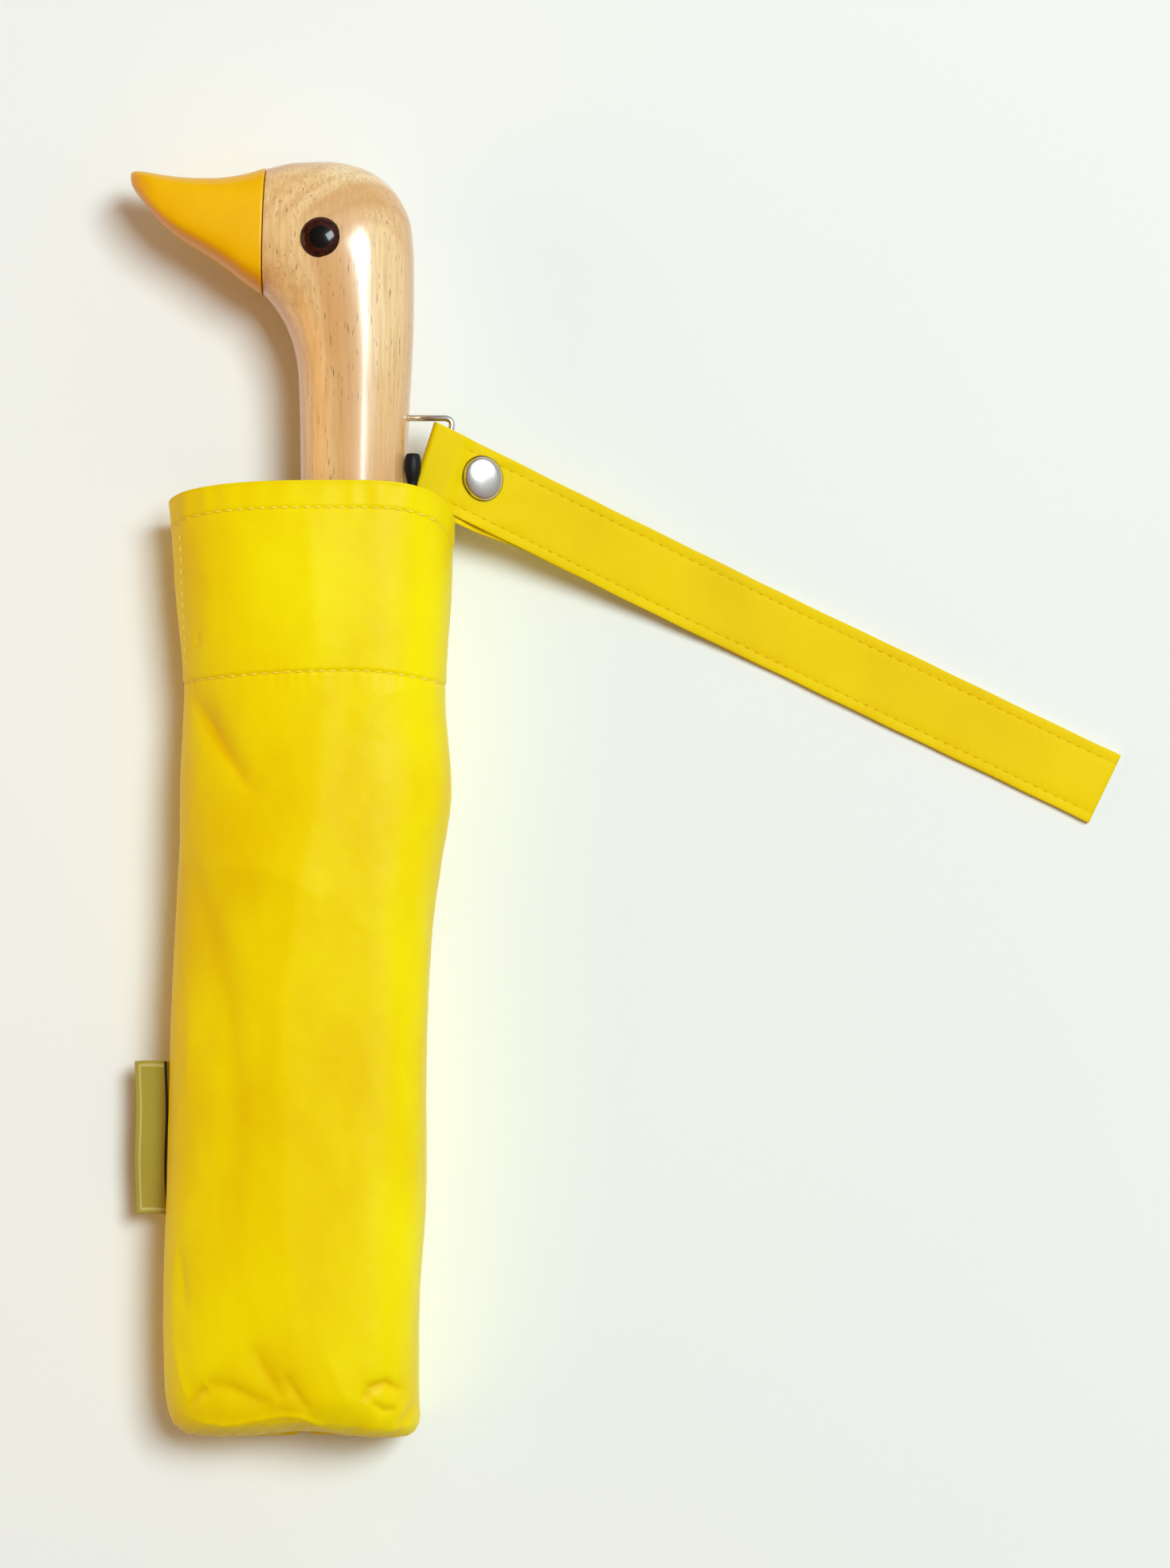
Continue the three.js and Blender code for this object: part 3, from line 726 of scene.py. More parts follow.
STRAP_START = np.array([16.4, 132.0])
STRAP_ANGLE = math.radians(-25.6)
STRAP_LENGTH = 199.4
STRAP_WIDTH = 19.7
STRAP_SKEW = 2.7  # how much further along its lower edge starts, beside the slanting wire
STRAP_LAYER = 0.8
STRAP_END_Z = 1.25  # height of its middle where it lies flat on the table
STUD_ALONG = 17.6
STUD_ACROSS = 2.1
STITCH_PITCH = 2.9
STRAP_STITCH_LENGTH, SLEEVE_STITCH_LENGTH = 1.9, 1.8


def strap_height(along):
    """The height of the strap's middle: level with the ring at its start, and down on the table."""
    down = ease(along, -14, 112)
    return STRAP_END_Z + (SHAFT_Z - STRAP_END_Z + 1.1) * (1 - down) ** 1.05


def strap_half_slit(along):
    """Half the gap between the layers: open round the wire, and pressed shut beyond it."""
    share = ease(along, 8.4, 12.2)
    return 1.75 * (1 - share) + 0.22 * share


def strap_place(along, across, height):
    """A point of the strap, from its own length and width and its height above the table."""
    along = along + STRAP_SKEW * (0.5 - across / STRAP_WIDTH) * (1 - ease(along, 9, 60))
    x = STRAP_START[0] + along * math.cos(STRAP_ANGLE) - across * math.sin(STRAP_ANGLE)
    y = STRAP_START[1] + along * math.sin(STRAP_ANGLE) + across * math.cos(STRAP_ANGLE)
    return np.stack(np.broadcast_arrays(x, y, height), axis=-1)


def strap_ripple(along, across, side):
    """How far the cloth of one layer stands off its flat place."""
    flutter = 0.16 * np.sin(along / 6.5 + 0.6 * side) * bell(np.abs(across) - 7.6, 2.2)
    drag = 0.30 * np.sin((along * 0.9 - across * 1.6 * side) / 2.3) * bell(along - STUD_ALONG, 11)
    near_stud = 1 - bell(np.hypot(along - STUD_ALONG, across - STUD_ACROSS), 6.5)
    slow = 0.18 * np.sin(along / 17.0 + side)
    return (flutter + slow) * ease(along, 6, 30) + drag * near_stud * ease(along, 6, 14)


STRAP_STITCH_IN = 2.7  # from the edge to the line of stitching
# Where the points of a layer's cross-section lie, as shares of its half width.
ACROSS_SHARES = [0.995, 0.97, 0.90, 0.82, 0.765, 0.745, 0.726, 0.707, 0.685, 0.62, 0.45, 0.2]
SECTION_SHARES = np.array(ACROSS_SHARES + [0.0] + [-share for share in reversed(ACROSS_SHARES)])


def layer_shift(along, side):
    """The lower layer shows a little past the upper one's edge, beside the wire."""
    return -1.5 * ease(along, 1, 9) * (1 - ease(along, 14, 36)) * (side < 0)


def build_strap(material, thread):
    """A flattened loop of folded cloth: round the wire at one end and pressed flat at the other."""
    at_wire = np.linspace(0.0, 14, 60, endpoint=False)
    along = np.concatenate([at_wire, np.linspace(14, STRAP_LENGTH, 280)])
    half = STRAP_LAYER / 2
    shares = np.concatenate([SECTION_SHARES, SECTION_SHARES[::-1]])
    upper_side = np.repeat((1.0, -1.0), len(SECTION_SHARES))
    across_flat = shares * STRAP_WIDTH / 2
    from_stitching = np.abs(across_flat) - (STRAP_WIDTH / 2 - STRAP_STITCH_IN)
    rounded = np.sqrt(np.clip(1 - np.clip((np.abs(shares) - 0.94) / 0.06, 0, 1) ** 2, 0, 1))
    edge_up = upper_side * half * (0.25 + 0.75 * rounded)
    rings, shade = [], []
    for side in (1, -1):
        for a in along[::side]:
            round_end = math.sqrt(max(0.0, 1 - max(0.0, 1 - a / 1.6) ** 2))
            far_round = math.sqrt(max(0.0, 1 - max(0.0, 1 - (STRAP_LENGTH - a) / 0.9) ** 2))
            offset = side * (strap_half_slit(a) + half) * round_end * far_round
            uneven = 1 + 0.004 * math.sin(a / 3.1) + 0.005 * math.sin(a / 10.7 + side)
            across = across_flat * uneven
            sewn = ease(a, 8, 11)
            puff = 0.10 * np.sin(a * 2.4) * bell(np.abs(from_stitching) - 1.0, 0.8) * sewn
            height = strap_height(a) + offset + edge_up * (1 - 0.38 * sewn * bell(from_stitching, 0.55))
            height = height + side * (strap_ripple(a, across, side) + puff)
            rings.append(strap_place(a, across + layer_shift(a, side), np.maximum(height, 0.25)))
            # painted shade in the pressed lines of the stitching
            shade.append(0.8 * sewn * bell(from_stitching, 0.22))
    strap = hoop("strap_band", rings, material)
    mark(strap, "fold", np.array(shade))
    finish_piece(strap, "strap", "yellow_webbing", "wrist_strap")

    stitches = []
    stitch_across = STRAP_WIDTH / 2 - STRAP_STITCH_IN
    for side in (1, -1):
        for across in (stitch_across, -stitch_across):
            for a in np.arange(11.5, STRAP_LENGTH - 3, STITCH_PITCH):
                stitches.append(strap_stitch(a, across, side, thread))
    finish_piece(joined(stitches, "strap_stitching"), "strap", "yellow_webbing")


def strap_stitch(along, across, side, thread):
    """One thread that dips into the cloth at both ends."""
    angle = circle(6)
    rings = []
    for t in np.linspace(-1, 1, 5):
        a = along + t * STRAP_STITCH_LENGTH / 2
        top = strap_height(a) + side * (strap_half_slit(a) + STRAP_LAYER)
        lift = -0.13 - 0.22 * t * t
        radius = 0.17 * math.sqrt(1 - 0.75 * t * t)
        height = top + side * (lift + strap_ripple(a, across, side)) + radius * np.sin(angle)
        rings.append(strap_place(a, across + radius * np.cos(angle) + layer_shift(a, side), height))
    return loft("stitch", rings, thread)


CAP_PROFILE = [(5.3, -0.1), (5.6, 0.1), (5.65, 0.35), (5.55, 0.6), (5.35, 0.72), (5.2, 0.9)]
for a in np.linspace(0.06, math.pi / 2 - 0.02, 18):
    CAP_PROFILE.append((5.2 * math.cos(a), 0.95 + 0.95 * math.sin(a) ** 0.7))
BASE_PROFILE = [(3.9, -1.2), (4.4, -1.15), (5.0, -0.8), (5.2, -0.4), (5.2, -0.1), (4.8, 0.1)]


def build_stud(name, node, profile, lift, material):
    """A turned piece of the press stud, square to the strap there and `lift` above its middle."""
    angle = circle(64)
    tilt = math.atan2(strap_height(STUD_ALONG + 2) - strap_height(STUD_ALONG - 2), 4)
    rings = []
    for radius, height in profile:
        u, across = radius * np.cos(angle), radius * np.sin(angle)
        along = STUD_ALONG + u * math.cos(tilt) - height * math.sin(tilt)
        up = strap_height(STUD_ALONG) + lift + u * math.sin(tilt) + height * math.cos(tilt)
        rings.append(strap_place(along - STRAP_SKEW * 0.39, across + STUD_ACROSS, up))
    stud = loft(name, rings, material)
    # painted shade and dark reflection round the outer flange
    edge = [float(ease(radius, 5.25, 5.5)) for radius, _ in profile]
    mark(stud, "painted_dark_rim", np.append(np.repeat(edge, len(angle)), (0.0, 0.0)))
    finish_piece(stud, "strap", "bright_steel", node)


# ---- the sleeve

# Stations of the sleeve: y, left x, right x, top z.
SLEEVE_STATIONS = [
    (-121.5, -40.0, 10.5, 24.0),
    (-120.5, -44.5, 15.0, 31.0),
    (-117, -47.8, 16.7, 37.5),
    (-109, -49.3, 16.6, 40.5),
    (-91, -49.6, 16.6, 41.6),
    (-60, -49.0, 18.2, 42.0),
    (-19, -47.9, 19.1, 42.0),
    (5, -46.7, 20.0, 42.0),
    (26, -45.9, 22.5, 42.0),
    (46, -45.4, 25.1, 42.0),
    (72, -44.4, 23.5, 41.6),
    (98, -47.0, 24.6, 42.0),
    (120, -48.3, 25.0, 42.0),
]
LEFT_MIDDLE_Z, RIGHT_MIDDLE_Z = 16.0, 19.0  # heights where each side is widest
MOUTH_FRONT, MOUTH_BACK = 124.4, 115.0
MOUTH_TOP = 42.0
HEM = 6.9
CUFF_Y = 76.0
CLOTH_THICKNESS = 0.5
FRONT_FADE = (22, 33)  # between these heights the folds of the front fade in


def sleeve_section(y, around, inset=0.0, floor=0.0):
    """One closed outline round the shaft, its points spread evenly along it."""
    left, right, top = smooth_rows(SLEEVE_STATIONS, np.array([y]))[0]
    angle = np.linspace(0, 2 * np.pi, 721)
    across, up = np.cos(angle), np.sin(angle)
    side = np.where(across > 0, right - inset, -left - inset)
    blend = ease(across, -0.25, 0.25)
    middle = LEFT_MIDDLE_Z * (1 - blend) + RIGHT_MIDDLE_Z * blend
    full = np.where(across > 0, 0.72, 0.8)
    reach = np.where(up > 0, top - inset - middle, middle + 2.5)
    power = np.where((up > 0) & (across < 0), 0.95, 0.75)
    x = side * signed_power(across, full)
    z = np.maximum(middle + reach * signed_power(up, power), floor)
    length = np.concatenate([[0], np.cumsum(np.hypot(np.diff(x), np.diff(z)))])
    at = np.linspace(0, length[-1], around, endpoint=False)
    return np.interp(at, length, x), np.interp(at, length, z)


def rim_height(x, z):
    """The mouth is highest in front, drops slowly down the slack left side and late on the right."""
    left = 1 - (1 - np.clip(z / MOUTH_TOP, 0, 1)) ** 1.25
    right = np.clip((z - 19.0) / (MOUTH_TOP - 19.0), 0, 1) ** 1.05
    return MOUTH_BACK + (MOUTH_FRONT - MOUTH_BACK) * np.where(x < 0, left, right)


def fold_height(points, route, height, lit_width, far_width, crest):
    """A ridge (or a valley, for a negative height) along a route over the cloth, in plan.

    Drawn down or to the right, the route has its lit side, toward the light, on its left hand.
    """
    best, signed, share = nearest_on_route(points, route)
    width = far_width + (lit_width - far_width) * ease(signed, -crest, crest)
    fall = np.exp(-(np.sqrt(best**2 + crest**2) - crest) / width)
    taper = np.sin(np.pi * np.clip(share * 0.96 + 0.02, 0, 1)) ** 0.5
    return height * taper * fall


# Folds of the front: route in plan, height, width on the lit side, width on the far side, crest.
SLEEVE_FOLDS = [
    ([(-11, 121), (-9.6, 100), (-8.6, 74)], 1.25, 10.0, 9.0, 0.9),
    ([(-7, 80), (-8, 45), (-14, 15), (-18, -12), (-17, -60), (-14, -100)], 1.2, 9.0, 9.0, 1.4),
    ([(-43, 30), (-37, 16), (-31, -8), (-28, -32), (-29, -70)], -1.0, 5.0, 8.0, 1.6),
    ([(-44.6, 74), (-39.5, 66), (-33, 56), (-26, 46.5)], -1.9, 4.6, 2.4, 0.7),
    ([(-40, 24.6), (-31.8, 26.7), (-22, 25.4), (-14.4, 22.6), (-6.5, 17)], 0.75, 7.0, 4.0, 0.5),
    ([(1.6, 60), (3.2, 65.5), (7, 69.4), (12, 71.2), (22, 71.4)], 0.55, 2.5, 7.0, 0.4),
    ([(11, 28), (15.6, 16.9), (18.4, 4), (17.4, -20), (15.5, -62), (15, -90)], 0.9, 3.4, 6.5, 0.7),
    ([(-45.2, -70), (-46.6, -84), (-46.8, -98), (-45.2, -112)], 0.7, 1.2, 1.2, 0.3),
    ([(-44.6, -72), (-43.4, -80), (-42.6, -88)], -0.7, 1.0, 1.6, 0.4),
    ([(-45.4, -97), (-44.2, -105), (-42.0, -112)], 0.6, 1.1, 0.9, 0.25),
    ([(-42.5, -112.5), (-40, -109.2), (-37.2, -107.5)], -1.1, 1.6, 1.2, 0.4),
    ([(-38, -106), (-31, -106.6), (-24, -110), (-20, -111)], -1.2, 2.2, 4.0, 0.7),
    ([(-24.5, -96), (-22.6, -101), (-19.4, -106), (-17.5, -110)], -1.0, 2.4, 3.6, 0.7),
    ([(-17.0, -103), (-13.6, -108.5), (-10.2, -113)], -0.9, 1.6, 2.6, 0.5),
    ([(-6, -98), (-3, -106), (0, -112)], 0.6, 3.2, 3.0, 0.6),
    ([(2.6, -110), (4.6, -106.6), (8.8, -105.3), (13.4, -107.8)], -1.5, 1.0, 2.0, 0.35),
    ([(5.6, -110.4), (8.4, -112.6), (11.4, -112.4)], -1.0, 1.2, 1.0, 0.35),
    ([(11.5, -117.5), (14.6, -115), (16.6, -111)], -1.0, 0.9, 1.1, 0.3),
    ([(-39.4, 86), (-39.7, 82.6), (-42.2, 81)], -0.6, 0.6, 0.7, 0.25),
    ([(20, 60), (22, 46), (21, 34)], 0.5, 2.6, 4.0, 0.6),
    ([(-44, 4), (-42, -14), (-43, -34)], 0.6, 3.0, 2.4, 0.6),
    ([(-38, 108), (-36, 96), (-37, 84)], 0.45, 4.0, 5.0, 1.0),
]

# The seam that joins the front to the end panel, in plan.
END_SEAM = [
    (-47, -112.6), (-44, -114.6), (-38, -116.4), (-32, -116.8), (-25, -115.4), (-18, -114),
    (-13, -114.2), (-6, -117.4), (0, -118.8), (7, -118.6), (12, -117.4), (16, -114.5),
]


def cuff_height(x):
    """The seam between the cuff and the body bows up a little in the middle."""
    return CUFF_Y - np.where(x < 0, 2.5 * (x / 43) ** 2, 3.4 * (x / 24) ** 2)


def sleeve_rows():
    """How high each row of the sleeve lies: close together at the gathers, the cuff and the hem."""
    bottom = SLEEVE_STATIONS[0][0]
    gathers = np.linspace(bottom, -94, 60, endpoint=False)
    middle = np.linspace(-94, 58, 180, endpoint=False)
    return np.concatenate([gathers, middle, np.linspace(58, MOUTH_BACK, 150)])


def build_sleeve(material):
    around = 320
    rings = []
    for y in sleeve_rows():
        x, z = sleeve_section(y, around)
        lift = (rim_height(x, z) - MOUTH_BACK) * ease(y, CUFF_Y, MOUTH_BACK)
        sag = 1.9 * bell(x + 13, 15) * ease(-y, 106, 121)
        rings.append(np.stack([x, y + lift + sag, z], axis=-1))
    points = sculpt_sleeve(np.array(rings))
    first = points[0]
    centre = first.mean(axis=0)
    end_panel = []
    for t in np.linspace(0.12, 0.92, 8):
        inner = centre + (first - centre) * t
        inner[:, 1] = first[:, 1] - 0.6 * (1 - t)
        end_panel.append(inner)
    points = np.concatenate([end_panel, points])
    flat = points.reshape(-1, 3).tolist()
    flat.append(points[0].mean(axis=0).tolist())
    faces = grid_faces(len(points), around)
    faces += [(len(flat) - 1, (j + 1) % around, j) for j in range(around)]
    sleeve = make_mesh("sleeve_cloth", flat, faces, material)
    # painted shade in the grooves of the cuff and hem seams
    mark(sleeve, "fold", np.append(seam_shade(points), 0.0))
    # painted shade down the valleys of the folds
    mark(sleeve, "painted_crease_shade", crease_shade(points_of(sleeve)))
    thickness = sleeve.modifiers.new("cloth", "SOLIDIFY")
    thickness.thickness = CLOTH_THICKNESS * MM
    thickness.offset = -1 if faces_up(sleeve) else 1
    apply_modifiers(sleeve)
    return sleeve


def faces_up(piece):
    top = max(piece.data.polygons, key=lambda p: p.center.z)
    return top.normal.z > 0


def seam_shade(points):
    """1 in the shaded line of a seam's stitching, 0 elsewhere."""
    x, y, z = np.moveaxis(points, -1, 0)
    cuff = bell(y - cuff_height(x), 0.42)
    hem = bell(rim_height(x, z) - y - HEM, 0.38)
    return np.clip(0.45 * cuff + 0.4 * hem, 0, 1)


def crease_shade(points):
    """Painted shade: up to 1 down in the valleys of the front's folds, 0 elsewhere."""
    shade = np.zeros(points.shape[:-1])
    for route, height, lit, far, crest in SLEEVE_FOLDS:
        if height < 0:
            shade += fold_height(points, route, -height / 1.8, 0.5 * lit, 0.5 * far, 0.4 * crest)
    return np.clip(shade, 0, 1) * ease(points[..., 2], *FRONT_FADE)


def side_folds(points, girth):
    """Slack folds that run mostly along the sleeve, over its sides and back."""
    rng = np.random.default_rng(7)
    total = girth.max()
    lift = np.zeros(girth.shape)
    for _ in range(34):
        centre_g, centre_y = rng.uniform(0, total), rng.uniform(-108, 66)
        lean, length = rng.normal(0, 0.22), rng.uniform(14, 42)
        width, height = rng.uniform(1.6, 4.5), rng.uniform(-0.75, 0.55)
        along = points[..., 1] - centre_y
        away = (girth - centre_g - along * lean + total / 2) % total - total / 2
        lift += height * np.exp(-(np.sqrt(away**2 + 0.3) - 0.55) / width) * bell(along, length)
    return lift


def sculpt_sleeve(points):
    """The hem, the stitched cuff, the folds and the gathered end, along each point's normal."""
    run = np.gradient(points, axis=0)
    turn = (np.roll(points, -1, axis=1) - np.roll(points, 1, axis=1)) / 2
    normal = np.cross(turn, run)
    normal /= np.linalg.norm(normal, axis=-1, keepdims=True) + 1e-9
    if normal[len(points) // 2, np.argmax(points[len(points) // 2, :, 2]), 2] < 0:
        normal = -normal
    x, y, z = np.moveaxis(points, -1, 0)
    down = rim_height(x, z) - y
    girth = np.cumsum(np.linalg.norm(np.diff(points, axis=1, prepend=points[:, :1]), axis=-1), axis=1)
    above_table = ease(z, 0.2, 5)
    front = ease(z, *FRONT_FADE)

    away = y - cuff_height(x)
    patches = noise_field(np.stack([girth, y * 0.2, z * 0], -1), 17.0, seed=5.0)
    uneven = 0.35 + 0.65 * np.clip(patches + 0.4, 0, 1)
    puckers = np.sin(girth * 1.9 + 2.6 * np.sin(girth / 4.3)) * uneven
    reach = np.where(away < 0, np.exp(away / 2.4), np.exp(-away / 1.3))
    lift = 0.15 * puckers * reach
    lift += 0.30 * ease(away, -0.35, 0.15)
    lift -= 0.34 * bell(away, 0.5)

    seam = down - HEM
    lift += 0.26 * ease(-seam, -0.3, 0.2)
    lift -= 0.24 * bell(seam, 0.45)
    lift += (0.22 * np.sin(girth * 0.8 + np.sin(girth / 6.0)) * uneven) * bell(down - 3.5, 4.0)
    lift += 0.18 * bell(down, 0.5)

    for fold in SLEEVE_FOLDS:
        lift += fold_height(points, *fold) * front
    lift += fold_height(points, END_SEAM, 0.45, 0.5, 0.7, 0.25) * front
    lift += side_folds(points, girth) * (1 - 0.8 * front) * ease(-y, -70, -60)
    lift += 0.45 * noise_field(points * np.array([1.0, 0.5, 1.0]), 38.0, seed=3.0, octaves=2)
    lift += 0.07 * noise_field(points, 7.0, seed=21.0, octaves=2)
    lift += np.sin(girth * 1.1 + 2 * np.sin(girth / 9.0)) * 0.22 * bell(y + 121, 5.0)
    lift *= above_table
    moved = points + normal * lift[..., None]
    moved[..., 2] = np.maximum(moved[..., 2], 0.0)
    return moved


def surface_probe(piece):
    """A function that gives the place and normal of the piece's upper side at a place in plan."""
    tree = BVHTree.FromPolygons(
        [v.co.copy() for v in piece.data.vertices], [tuple(p.vertices) for p in piece.data.polygons]
    )

    def probe(x, y):
        place, normal, _, _ = tree.ray_cast(Vector((x * MM, y * MM, 0.2)), Vector((0, 0, -1)))
        return (np.array(place) / MM, np.array(normal)) if place else None

    return probe


def stitch_row(probe, route, radius, thread):
    """A running stitch laid on a surface along a route in plan."""
    route = np.array(route, float)
    along = np.concatenate([[0], np.cumsum(np.hypot(*np.diff(route, axis=0).T))])

    def plan(at):
        return np.interp(at, along, route[:, 0]), np.interp(at, along, route[:, 1])

    made = []
    for start in np.arange(0.5, along[-1] - SLEEVE_STITCH_LENGTH, STITCH_PITCH):
        rings = []
        for t in np.linspace(0, 1, 5):
            at = start + t * SLEEVE_STITCH_LENGTH
            x, y = plan(at)
            hit = probe(x, y)
            if hit is None:
                break
            place, normal = hit
            ahead_x, ahead_y = plan(at + 0.1)
            side = np.cross(normal, np.array([ahead_x - x, ahead_y - y, 0.0]))
            side /= np.linalg.norm(side) + 1e-9
            bow = 1 - (2 * t - 1) ** 2
            r = radius * (0.45 + 0.55 * bow)
            centre = place + normal * (0.22 * bow - 0.12)
            rings.append([centre + side * r * math.cos(a) + normal * r * math.sin(a) for a in circle(6)])
        else:
            made.append(loft("stitch", rings, thread))
    return made


def build_sleeve_stitching(sleeve, thread):
    """Rows of stitches along the hem, the cuff's seam and the seam at the left of the cuff."""
    probe = surface_probe(sleeve)

    def hem_y(x):
        hit = probe(x, 100.0)
        z = hit[0][2] if hit else SHAFT_Z
        return float(rim_height(np.array(x), np.array(z))) - HEM

    seams = [
        ([(x, hem_y(x)) for x in np.linspace(-46.5, 24.0, 160)], 0.2),
        ([(x, float(cuff_height(x))) for x in np.linspace(-43.5, 23.4, 120)], 0.2),
        ([(-44.8 + 0.04 * (112 - y), y) for y in np.linspace(112, 76, 60)], 0.16),
    ]
    stitches = []
    for route, radius in seams:
        stitches += stitch_row(probe, route, radius, thread)
    return joined(stitches, "sleeve_stitching")


# ---- the label

LABEL_WIDTH, LABEL_LENGTH = 9.4, 39.8
LABEL_X, LABEL_Y, LABEL_Z = -48.2, -45.0, 13.0
LABEL_HALF_THICKNESS = 0.35


def build_label(material):
    across_count, along_count = 40, 120
    uu, vv = np.meshgrid(np.linspace(0, 1, across_count), np.linspace(-0.5, 0.5, along_count))
    x = LABEL_X - LABEL_WIDTH * uu + 0.2 * np.sin(vv * 9)
    y = LABEL_Y + LABEL_LENGTH * vv + 0.25 * np.sin(uu * 3)
    z = LABEL_Z - 1.6 * uu**1.5 + 0.5 * np.sin(vv * 7 + 1) * uu
    heights = (z + LABEL_HALF_THICKNESS, z - LABEL_HALF_THICKNESS)
    points = np.concatenate([np.stack([x, y, h], axis=-1).reshape(-1, 3) for h in heights])
    per_side = across_count * along_count
    faces = grid_faces(along_count, across_count, wrap_around=False)
    faces += [tuple(i + per_side for i in f[::-1]) for f in faces]
    ring = list(range(across_count))
    ring += [i * across_count + across_count - 1 for i in range(1, along_count)]
    ring += [per_side - 1 - j for j in range(1, across_count)]
    ring += [i * across_count for i in range(along_count - 2, 0, -1)]
    for a, b in zip(ring, ring[1:] + ring[:1]):
        faces.append((b, a, a + per_side, b + per_side))
    label = make_mesh("woven_label", points, faces, material)
    face_outward(label)
    edge = np.minimum(np.minimum(uu, 1 - uu) * LABEL_WIDTH, (0.5 - np.abs(vv)) * LABEL_LENGTH)
    border = (edge > 1.0) & (edge < 1.5)
    mark(label, "pattern", np.tile(border.ravel().astype(float) * 0.5, 2))
    selvedge = ease(uu * LABEL_WIDTH, 0.7, 0.9) * (1 - ease(uu * LABEL_WIDTH, 1.5, 1.7))
    mark(label, "selvedge", np.tile(selvedge.ravel(), 2))
    return label


# ---- the furled canopy


CANOPY_AROUND = 240
CANOPY_START_Y, CANOPY_END_Y = -108.0, 106.0
SECTION_START_Y = -88.0  # nearer the crown end than this, the section only shrinks
PLEATS = 16


def canopy_section(y, inset):
    """The furled cloth's outline: the sleeve's own, drawn in."""
    taper = 0.42 + 0.58 * math.sqrt(np.clip((y + 108.5) / 14.0, 0, 1))
    x, z = sleeve_section(max(y, SECTION_START_Y), CANOPY_AROUND, inset=inset, floor=1.9)
    return np.clip(x, -39.8, 19.4) * taper, SHAFT_Z + (z - SHAFT_Z) * taper


def build_canopy(material):
    """The pleated outside from the crown end to the handle, and back along the bore for the shaft."""
    rings = []
    ys = np.linspace(CANOPY_START_Y, CANOPY_END_Y, 150)
    index = np.arange(CANOPY_AROUND) / CANOPY_AROUND
    for y in ys:
        outline = np.stack(canopy_section(y, 3.0), axis=-1)
        wrap = (index * PLEATS + y / 52.0) % 1.0
        step = 1.5 * (1 - wrap) ** 1.5 - 0.5 + 0.25 * np.sin(index * 60 + y / 5)
        middle = np.stack([np.clip(outline[:, 0], -24, 4) * 0.6, np.full(CANOPY_AROUND, SHAFT_Z)], axis=-1)
        away = outline - middle
        length = np.linalg.norm(away, axis=-1, keepdims=True)
        x, z = (outline - away / length * (0.9 - step[:, None] * 0.9)).T
        rings.append(np.stack([x, np.full(CANOPY_AROUND, y), np.maximum(z, 2.1)], axis=-1))
    angle = circle(CANOPY_AROUND)
    for y in ys[::-1]:
        radius = 14.0 + 3.7 * (y - CANOPY_START_Y) / (CANOPY_END_Y - CANOPY_START_Y)
        x, z = radius * np.cos(angle), SHAFT_Z + radius * np.sin(angle)
        rings.append(np.stack([x, np.full(CANOPY_AROUND, y), z], axis=-1))
    return hoop("furled_canopy", rings, material)


# The tie's cross-section: y, and how far inside the canopy's own outline.
TIE_PROFILE = [
    (10.0, 0.25), (10.3, -0.45), (11.5, -0.6), (18.5, -0.7), (25.5, -0.6), (26.7, -0.45),
    (27.0, 0.25), (26.7, 0.55), (18.5, 0.6), (10.3, 0.55),
]


def build_tie(material):
    rings = []
    for y, inset in TIE_PROFILE:
        x, z = canopy_section(y, 2.0 + inset)
        rings.append(np.stack([np.clip(x, -40.4, 20.2), np.full(CANOPY_AROUND, y), z], axis=-1))
    return hoop("canopy_band", rings, material)


# ---- rib tips

RIB_COUNT = 8
# Share of the tip's length, and radius there.
RIB_TIP_PROFILE = [
    (0.0, 1.25), (0.42, 1.3), (0.5, 1.5), (0.6, 1.9), (0.74, 2.2), (0.85, 2.15), (0.94, 1.9),
    (0.985, 1.66), (1.0, 1.4),
]


def build_rib_tip(number, material):
    """A barrel-shaped cap on the end of an outer rib, turned about the rib's own line."""
    points = points_of(frame["nodes"][f"rib_tip_{number}"])
    start = points[points[:, 1] < points[:, 1].min() + 0.8].mean(axis=0)
    end = points[points[:, 1] > points[:, 1].max() - 0.8].mean(axis=0)
    line = end - start
    length = np.linalg.norm(line)
    line /= length
    side = np.cross(line, [0.0, 0.0, 1.0])
    side /= np.linalg.norm(side)
    up = np.cross(side, line)
    shares = np.linspace(0, 1, 36)
    rings = []
    for share, (radius,) in zip(shares, smooth_rows(RIB_TIP_PROFILE, shares)):
        centre = start + line * length * share
        rings.append([centre + side * radius * math.cos(a) + up * radius * math.sin(a) for a in circle(32)])
    tip = loft(f"tip_{number}", rings, material)
    bevelled(tip, 0.3)
    finish_piece(tip, f"outer_rib_{number}", "black_plastic", f"rib_tip_{number}")


# ---- the scene

bpy.context.scene.view_settings.view_transform = "Standard"
add_camera()
add_light("key", (0.36, 0.25, 1.0), 2.6, (0.72, 1.0), 59.5, (0.785, 0.915, 0.965))
add_light("fill", (-1.0, 0.1, 0.34), 1.3, (0.8, 0.8), 4.0, (1.0, 0.67, 0.24))
add_world(0.46, (0.80, 0.76, 0.71), (0.42, 0.14, 0.03))

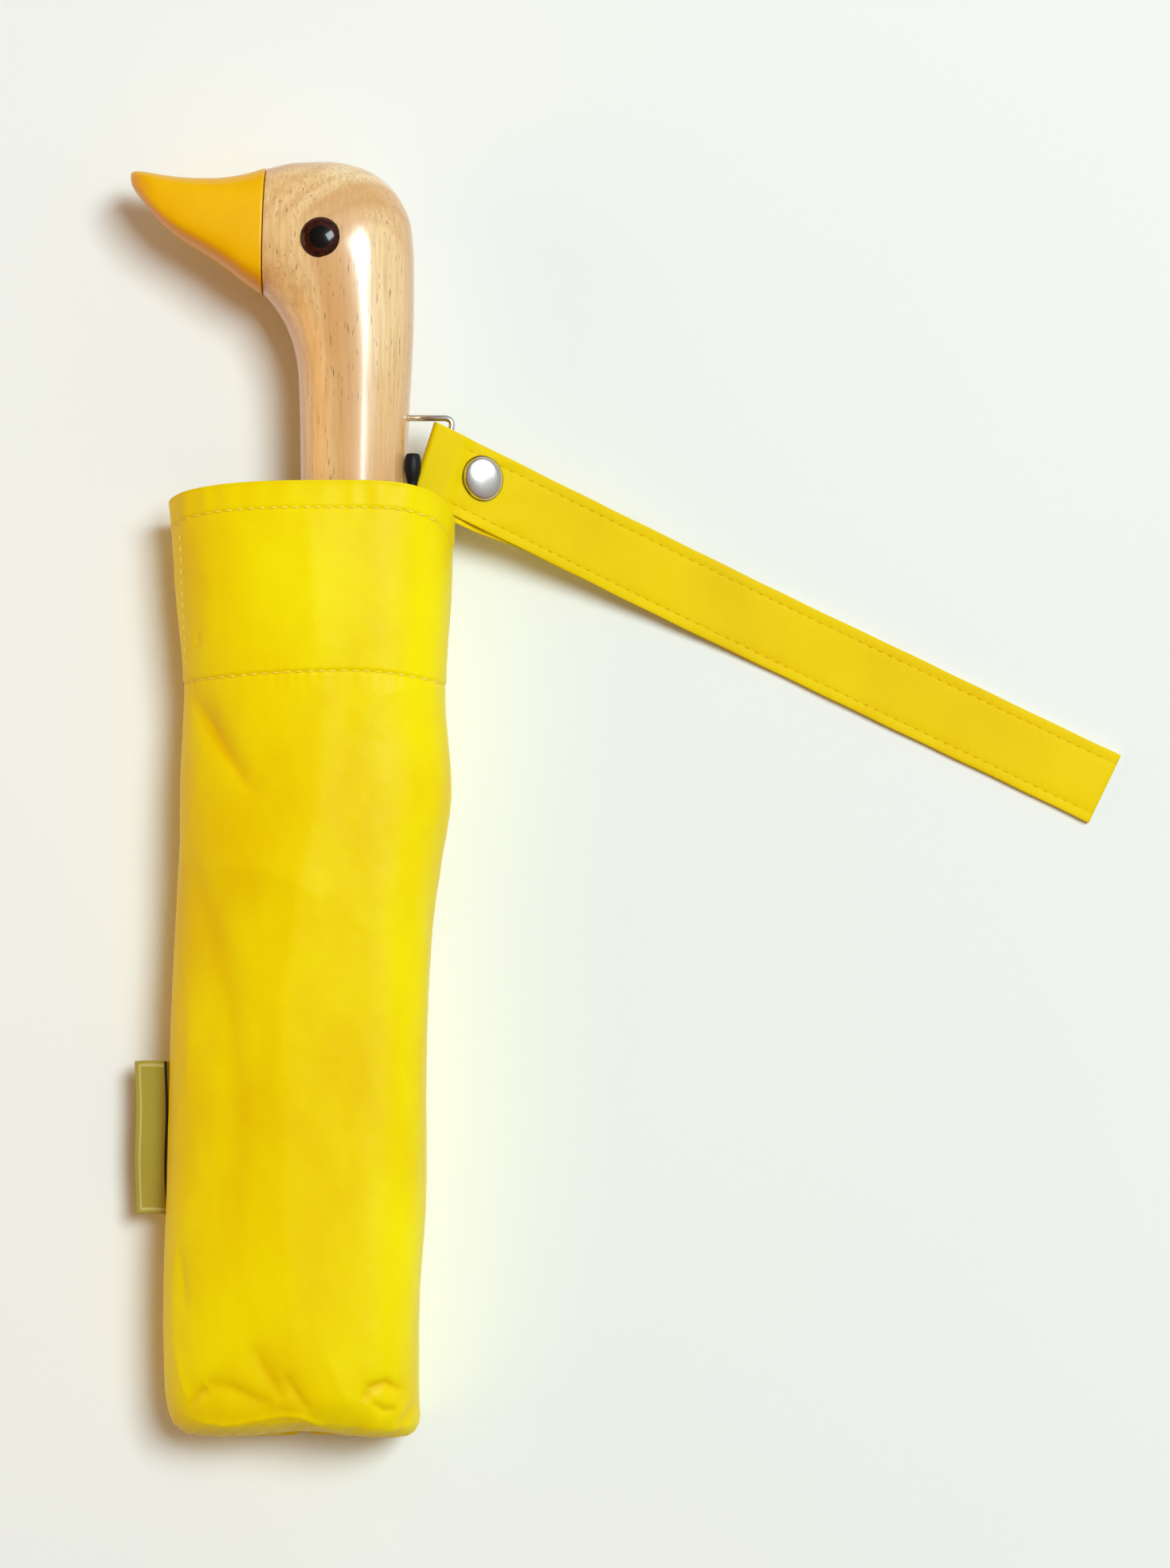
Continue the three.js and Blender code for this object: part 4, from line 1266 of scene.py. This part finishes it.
MATERIALS = {
    "wood": wood_material(),
    "beak_paint": beak_material(),
    "eye": eye_material(),
    "bright_steel": steel_material("bright_steel", (0.92, 0.92, 0.93), 0.14, 0.24),
    "rib_steel": steel_material("rib_enamel", (0.03, 0.03, 0.032), 0.30, 0.45),
    "black_plastic": black_plastic_material(),
    "yellow_nylon": cloth_material(
        "yellow_nylon", linear(249, 229, 2), linear(240, 202, 0), linear(252, 234, 3)
    ),
    "yellow_webbing": cloth_material(
        "strap_cloth", linear(241, 208, 1), linear(234, 197, 0), linear(244, 213, 1), 2.6, 0.10, 0.6
    ),
    "label_cloth": label_material(),
}
NICKEL = steel_material("polished_nickel", (0.93, 0.92, 0.90), 0.12, 0.22, (300, 300, 300))
THREAD = cloth_material(
    "pale_thread", linear(250, 232, 90), linear(244, 222, 60), linear(255, 240, 120), 6.0
)
DARK_THREAD = cloth_material(
    "gold_thread", linear(222, 178, 2), linear(212, 166, 1), linear(230, 188, 4), 6.0, 0.1, 0.6
)

FLOOR_REACH = 2500
floor_corners = [(FLOOR_REACH * x, FLOOR_REACH * y, 0) for x, y in ((-1, -1), (1, -1), (1, 1), (-1, 1))]
floor = make_mesh("floor", floor_corners, [(0, 1, 2, 3)], floor_material(), smooth=False)

slot_of = {row["node"]: row["material_slot"] for row in frame["record"]["subparts"]}
for node_name, node_object in frame["nodes"].items():
    node_object.data.materials.clear()
    node_object.data.materials.append(MATERIALS[slot_of[node_name]])
    node_object.data.shade_smooth()
    node_object.data.set_sharp_from_angle(angle=math.radians(32))

build_head(MATERIALS["wood"])
build_beak(MATERIALS["beak_paint"])
build_eye(1, MATERIALS["eye"])
build_eye(-1, MATERIALS["eye"])
build_wire_ring(MATERIALS["bright_steel"])

build_strap(MATERIALS["yellow_webbing"], DARK_THREAD)
build_stud("stud_dome", "stud_cap", CAP_PROFILE, 1.35, NICKEL)
build_stud("stud_socket", "stud_base", BASE_PROFILE, -1.3, NICKEL)

sleeve_piece = build_sleeve(MATERIALS["yellow_nylon"])
stitching = build_sleeve_stitching(sleeve_piece, THREAD)
finish_piece(sleeve_piece, "sleeve", "yellow_nylon", "sleeve")
finish_piece(stitching, "sleeve", "yellow_nylon")
label_piece = build_label(MATERIALS["label_cloth"])
finish_piece(label_piece, "sleeve", "label_cloth", "label")

canopy_piece = build_canopy(MATERIALS["yellow_nylon"])
finish_piece(canopy_piece, "crown", "yellow_nylon", "canopy")
tie_piece = build_tie(MATERIALS["yellow_webbing"])
finish_piece(tie_piece, "crown", "yellow_nylon", "canopy_tie")

for rib_number in range(1, RIB_COUNT + 1):
    build_rib_tip(rib_number, MATERIALS["black_plastic"])

for soft_piece in (sleeve_piece, stitching, label_piece, canopy_piece, tie_piece):
    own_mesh(soft_piece)
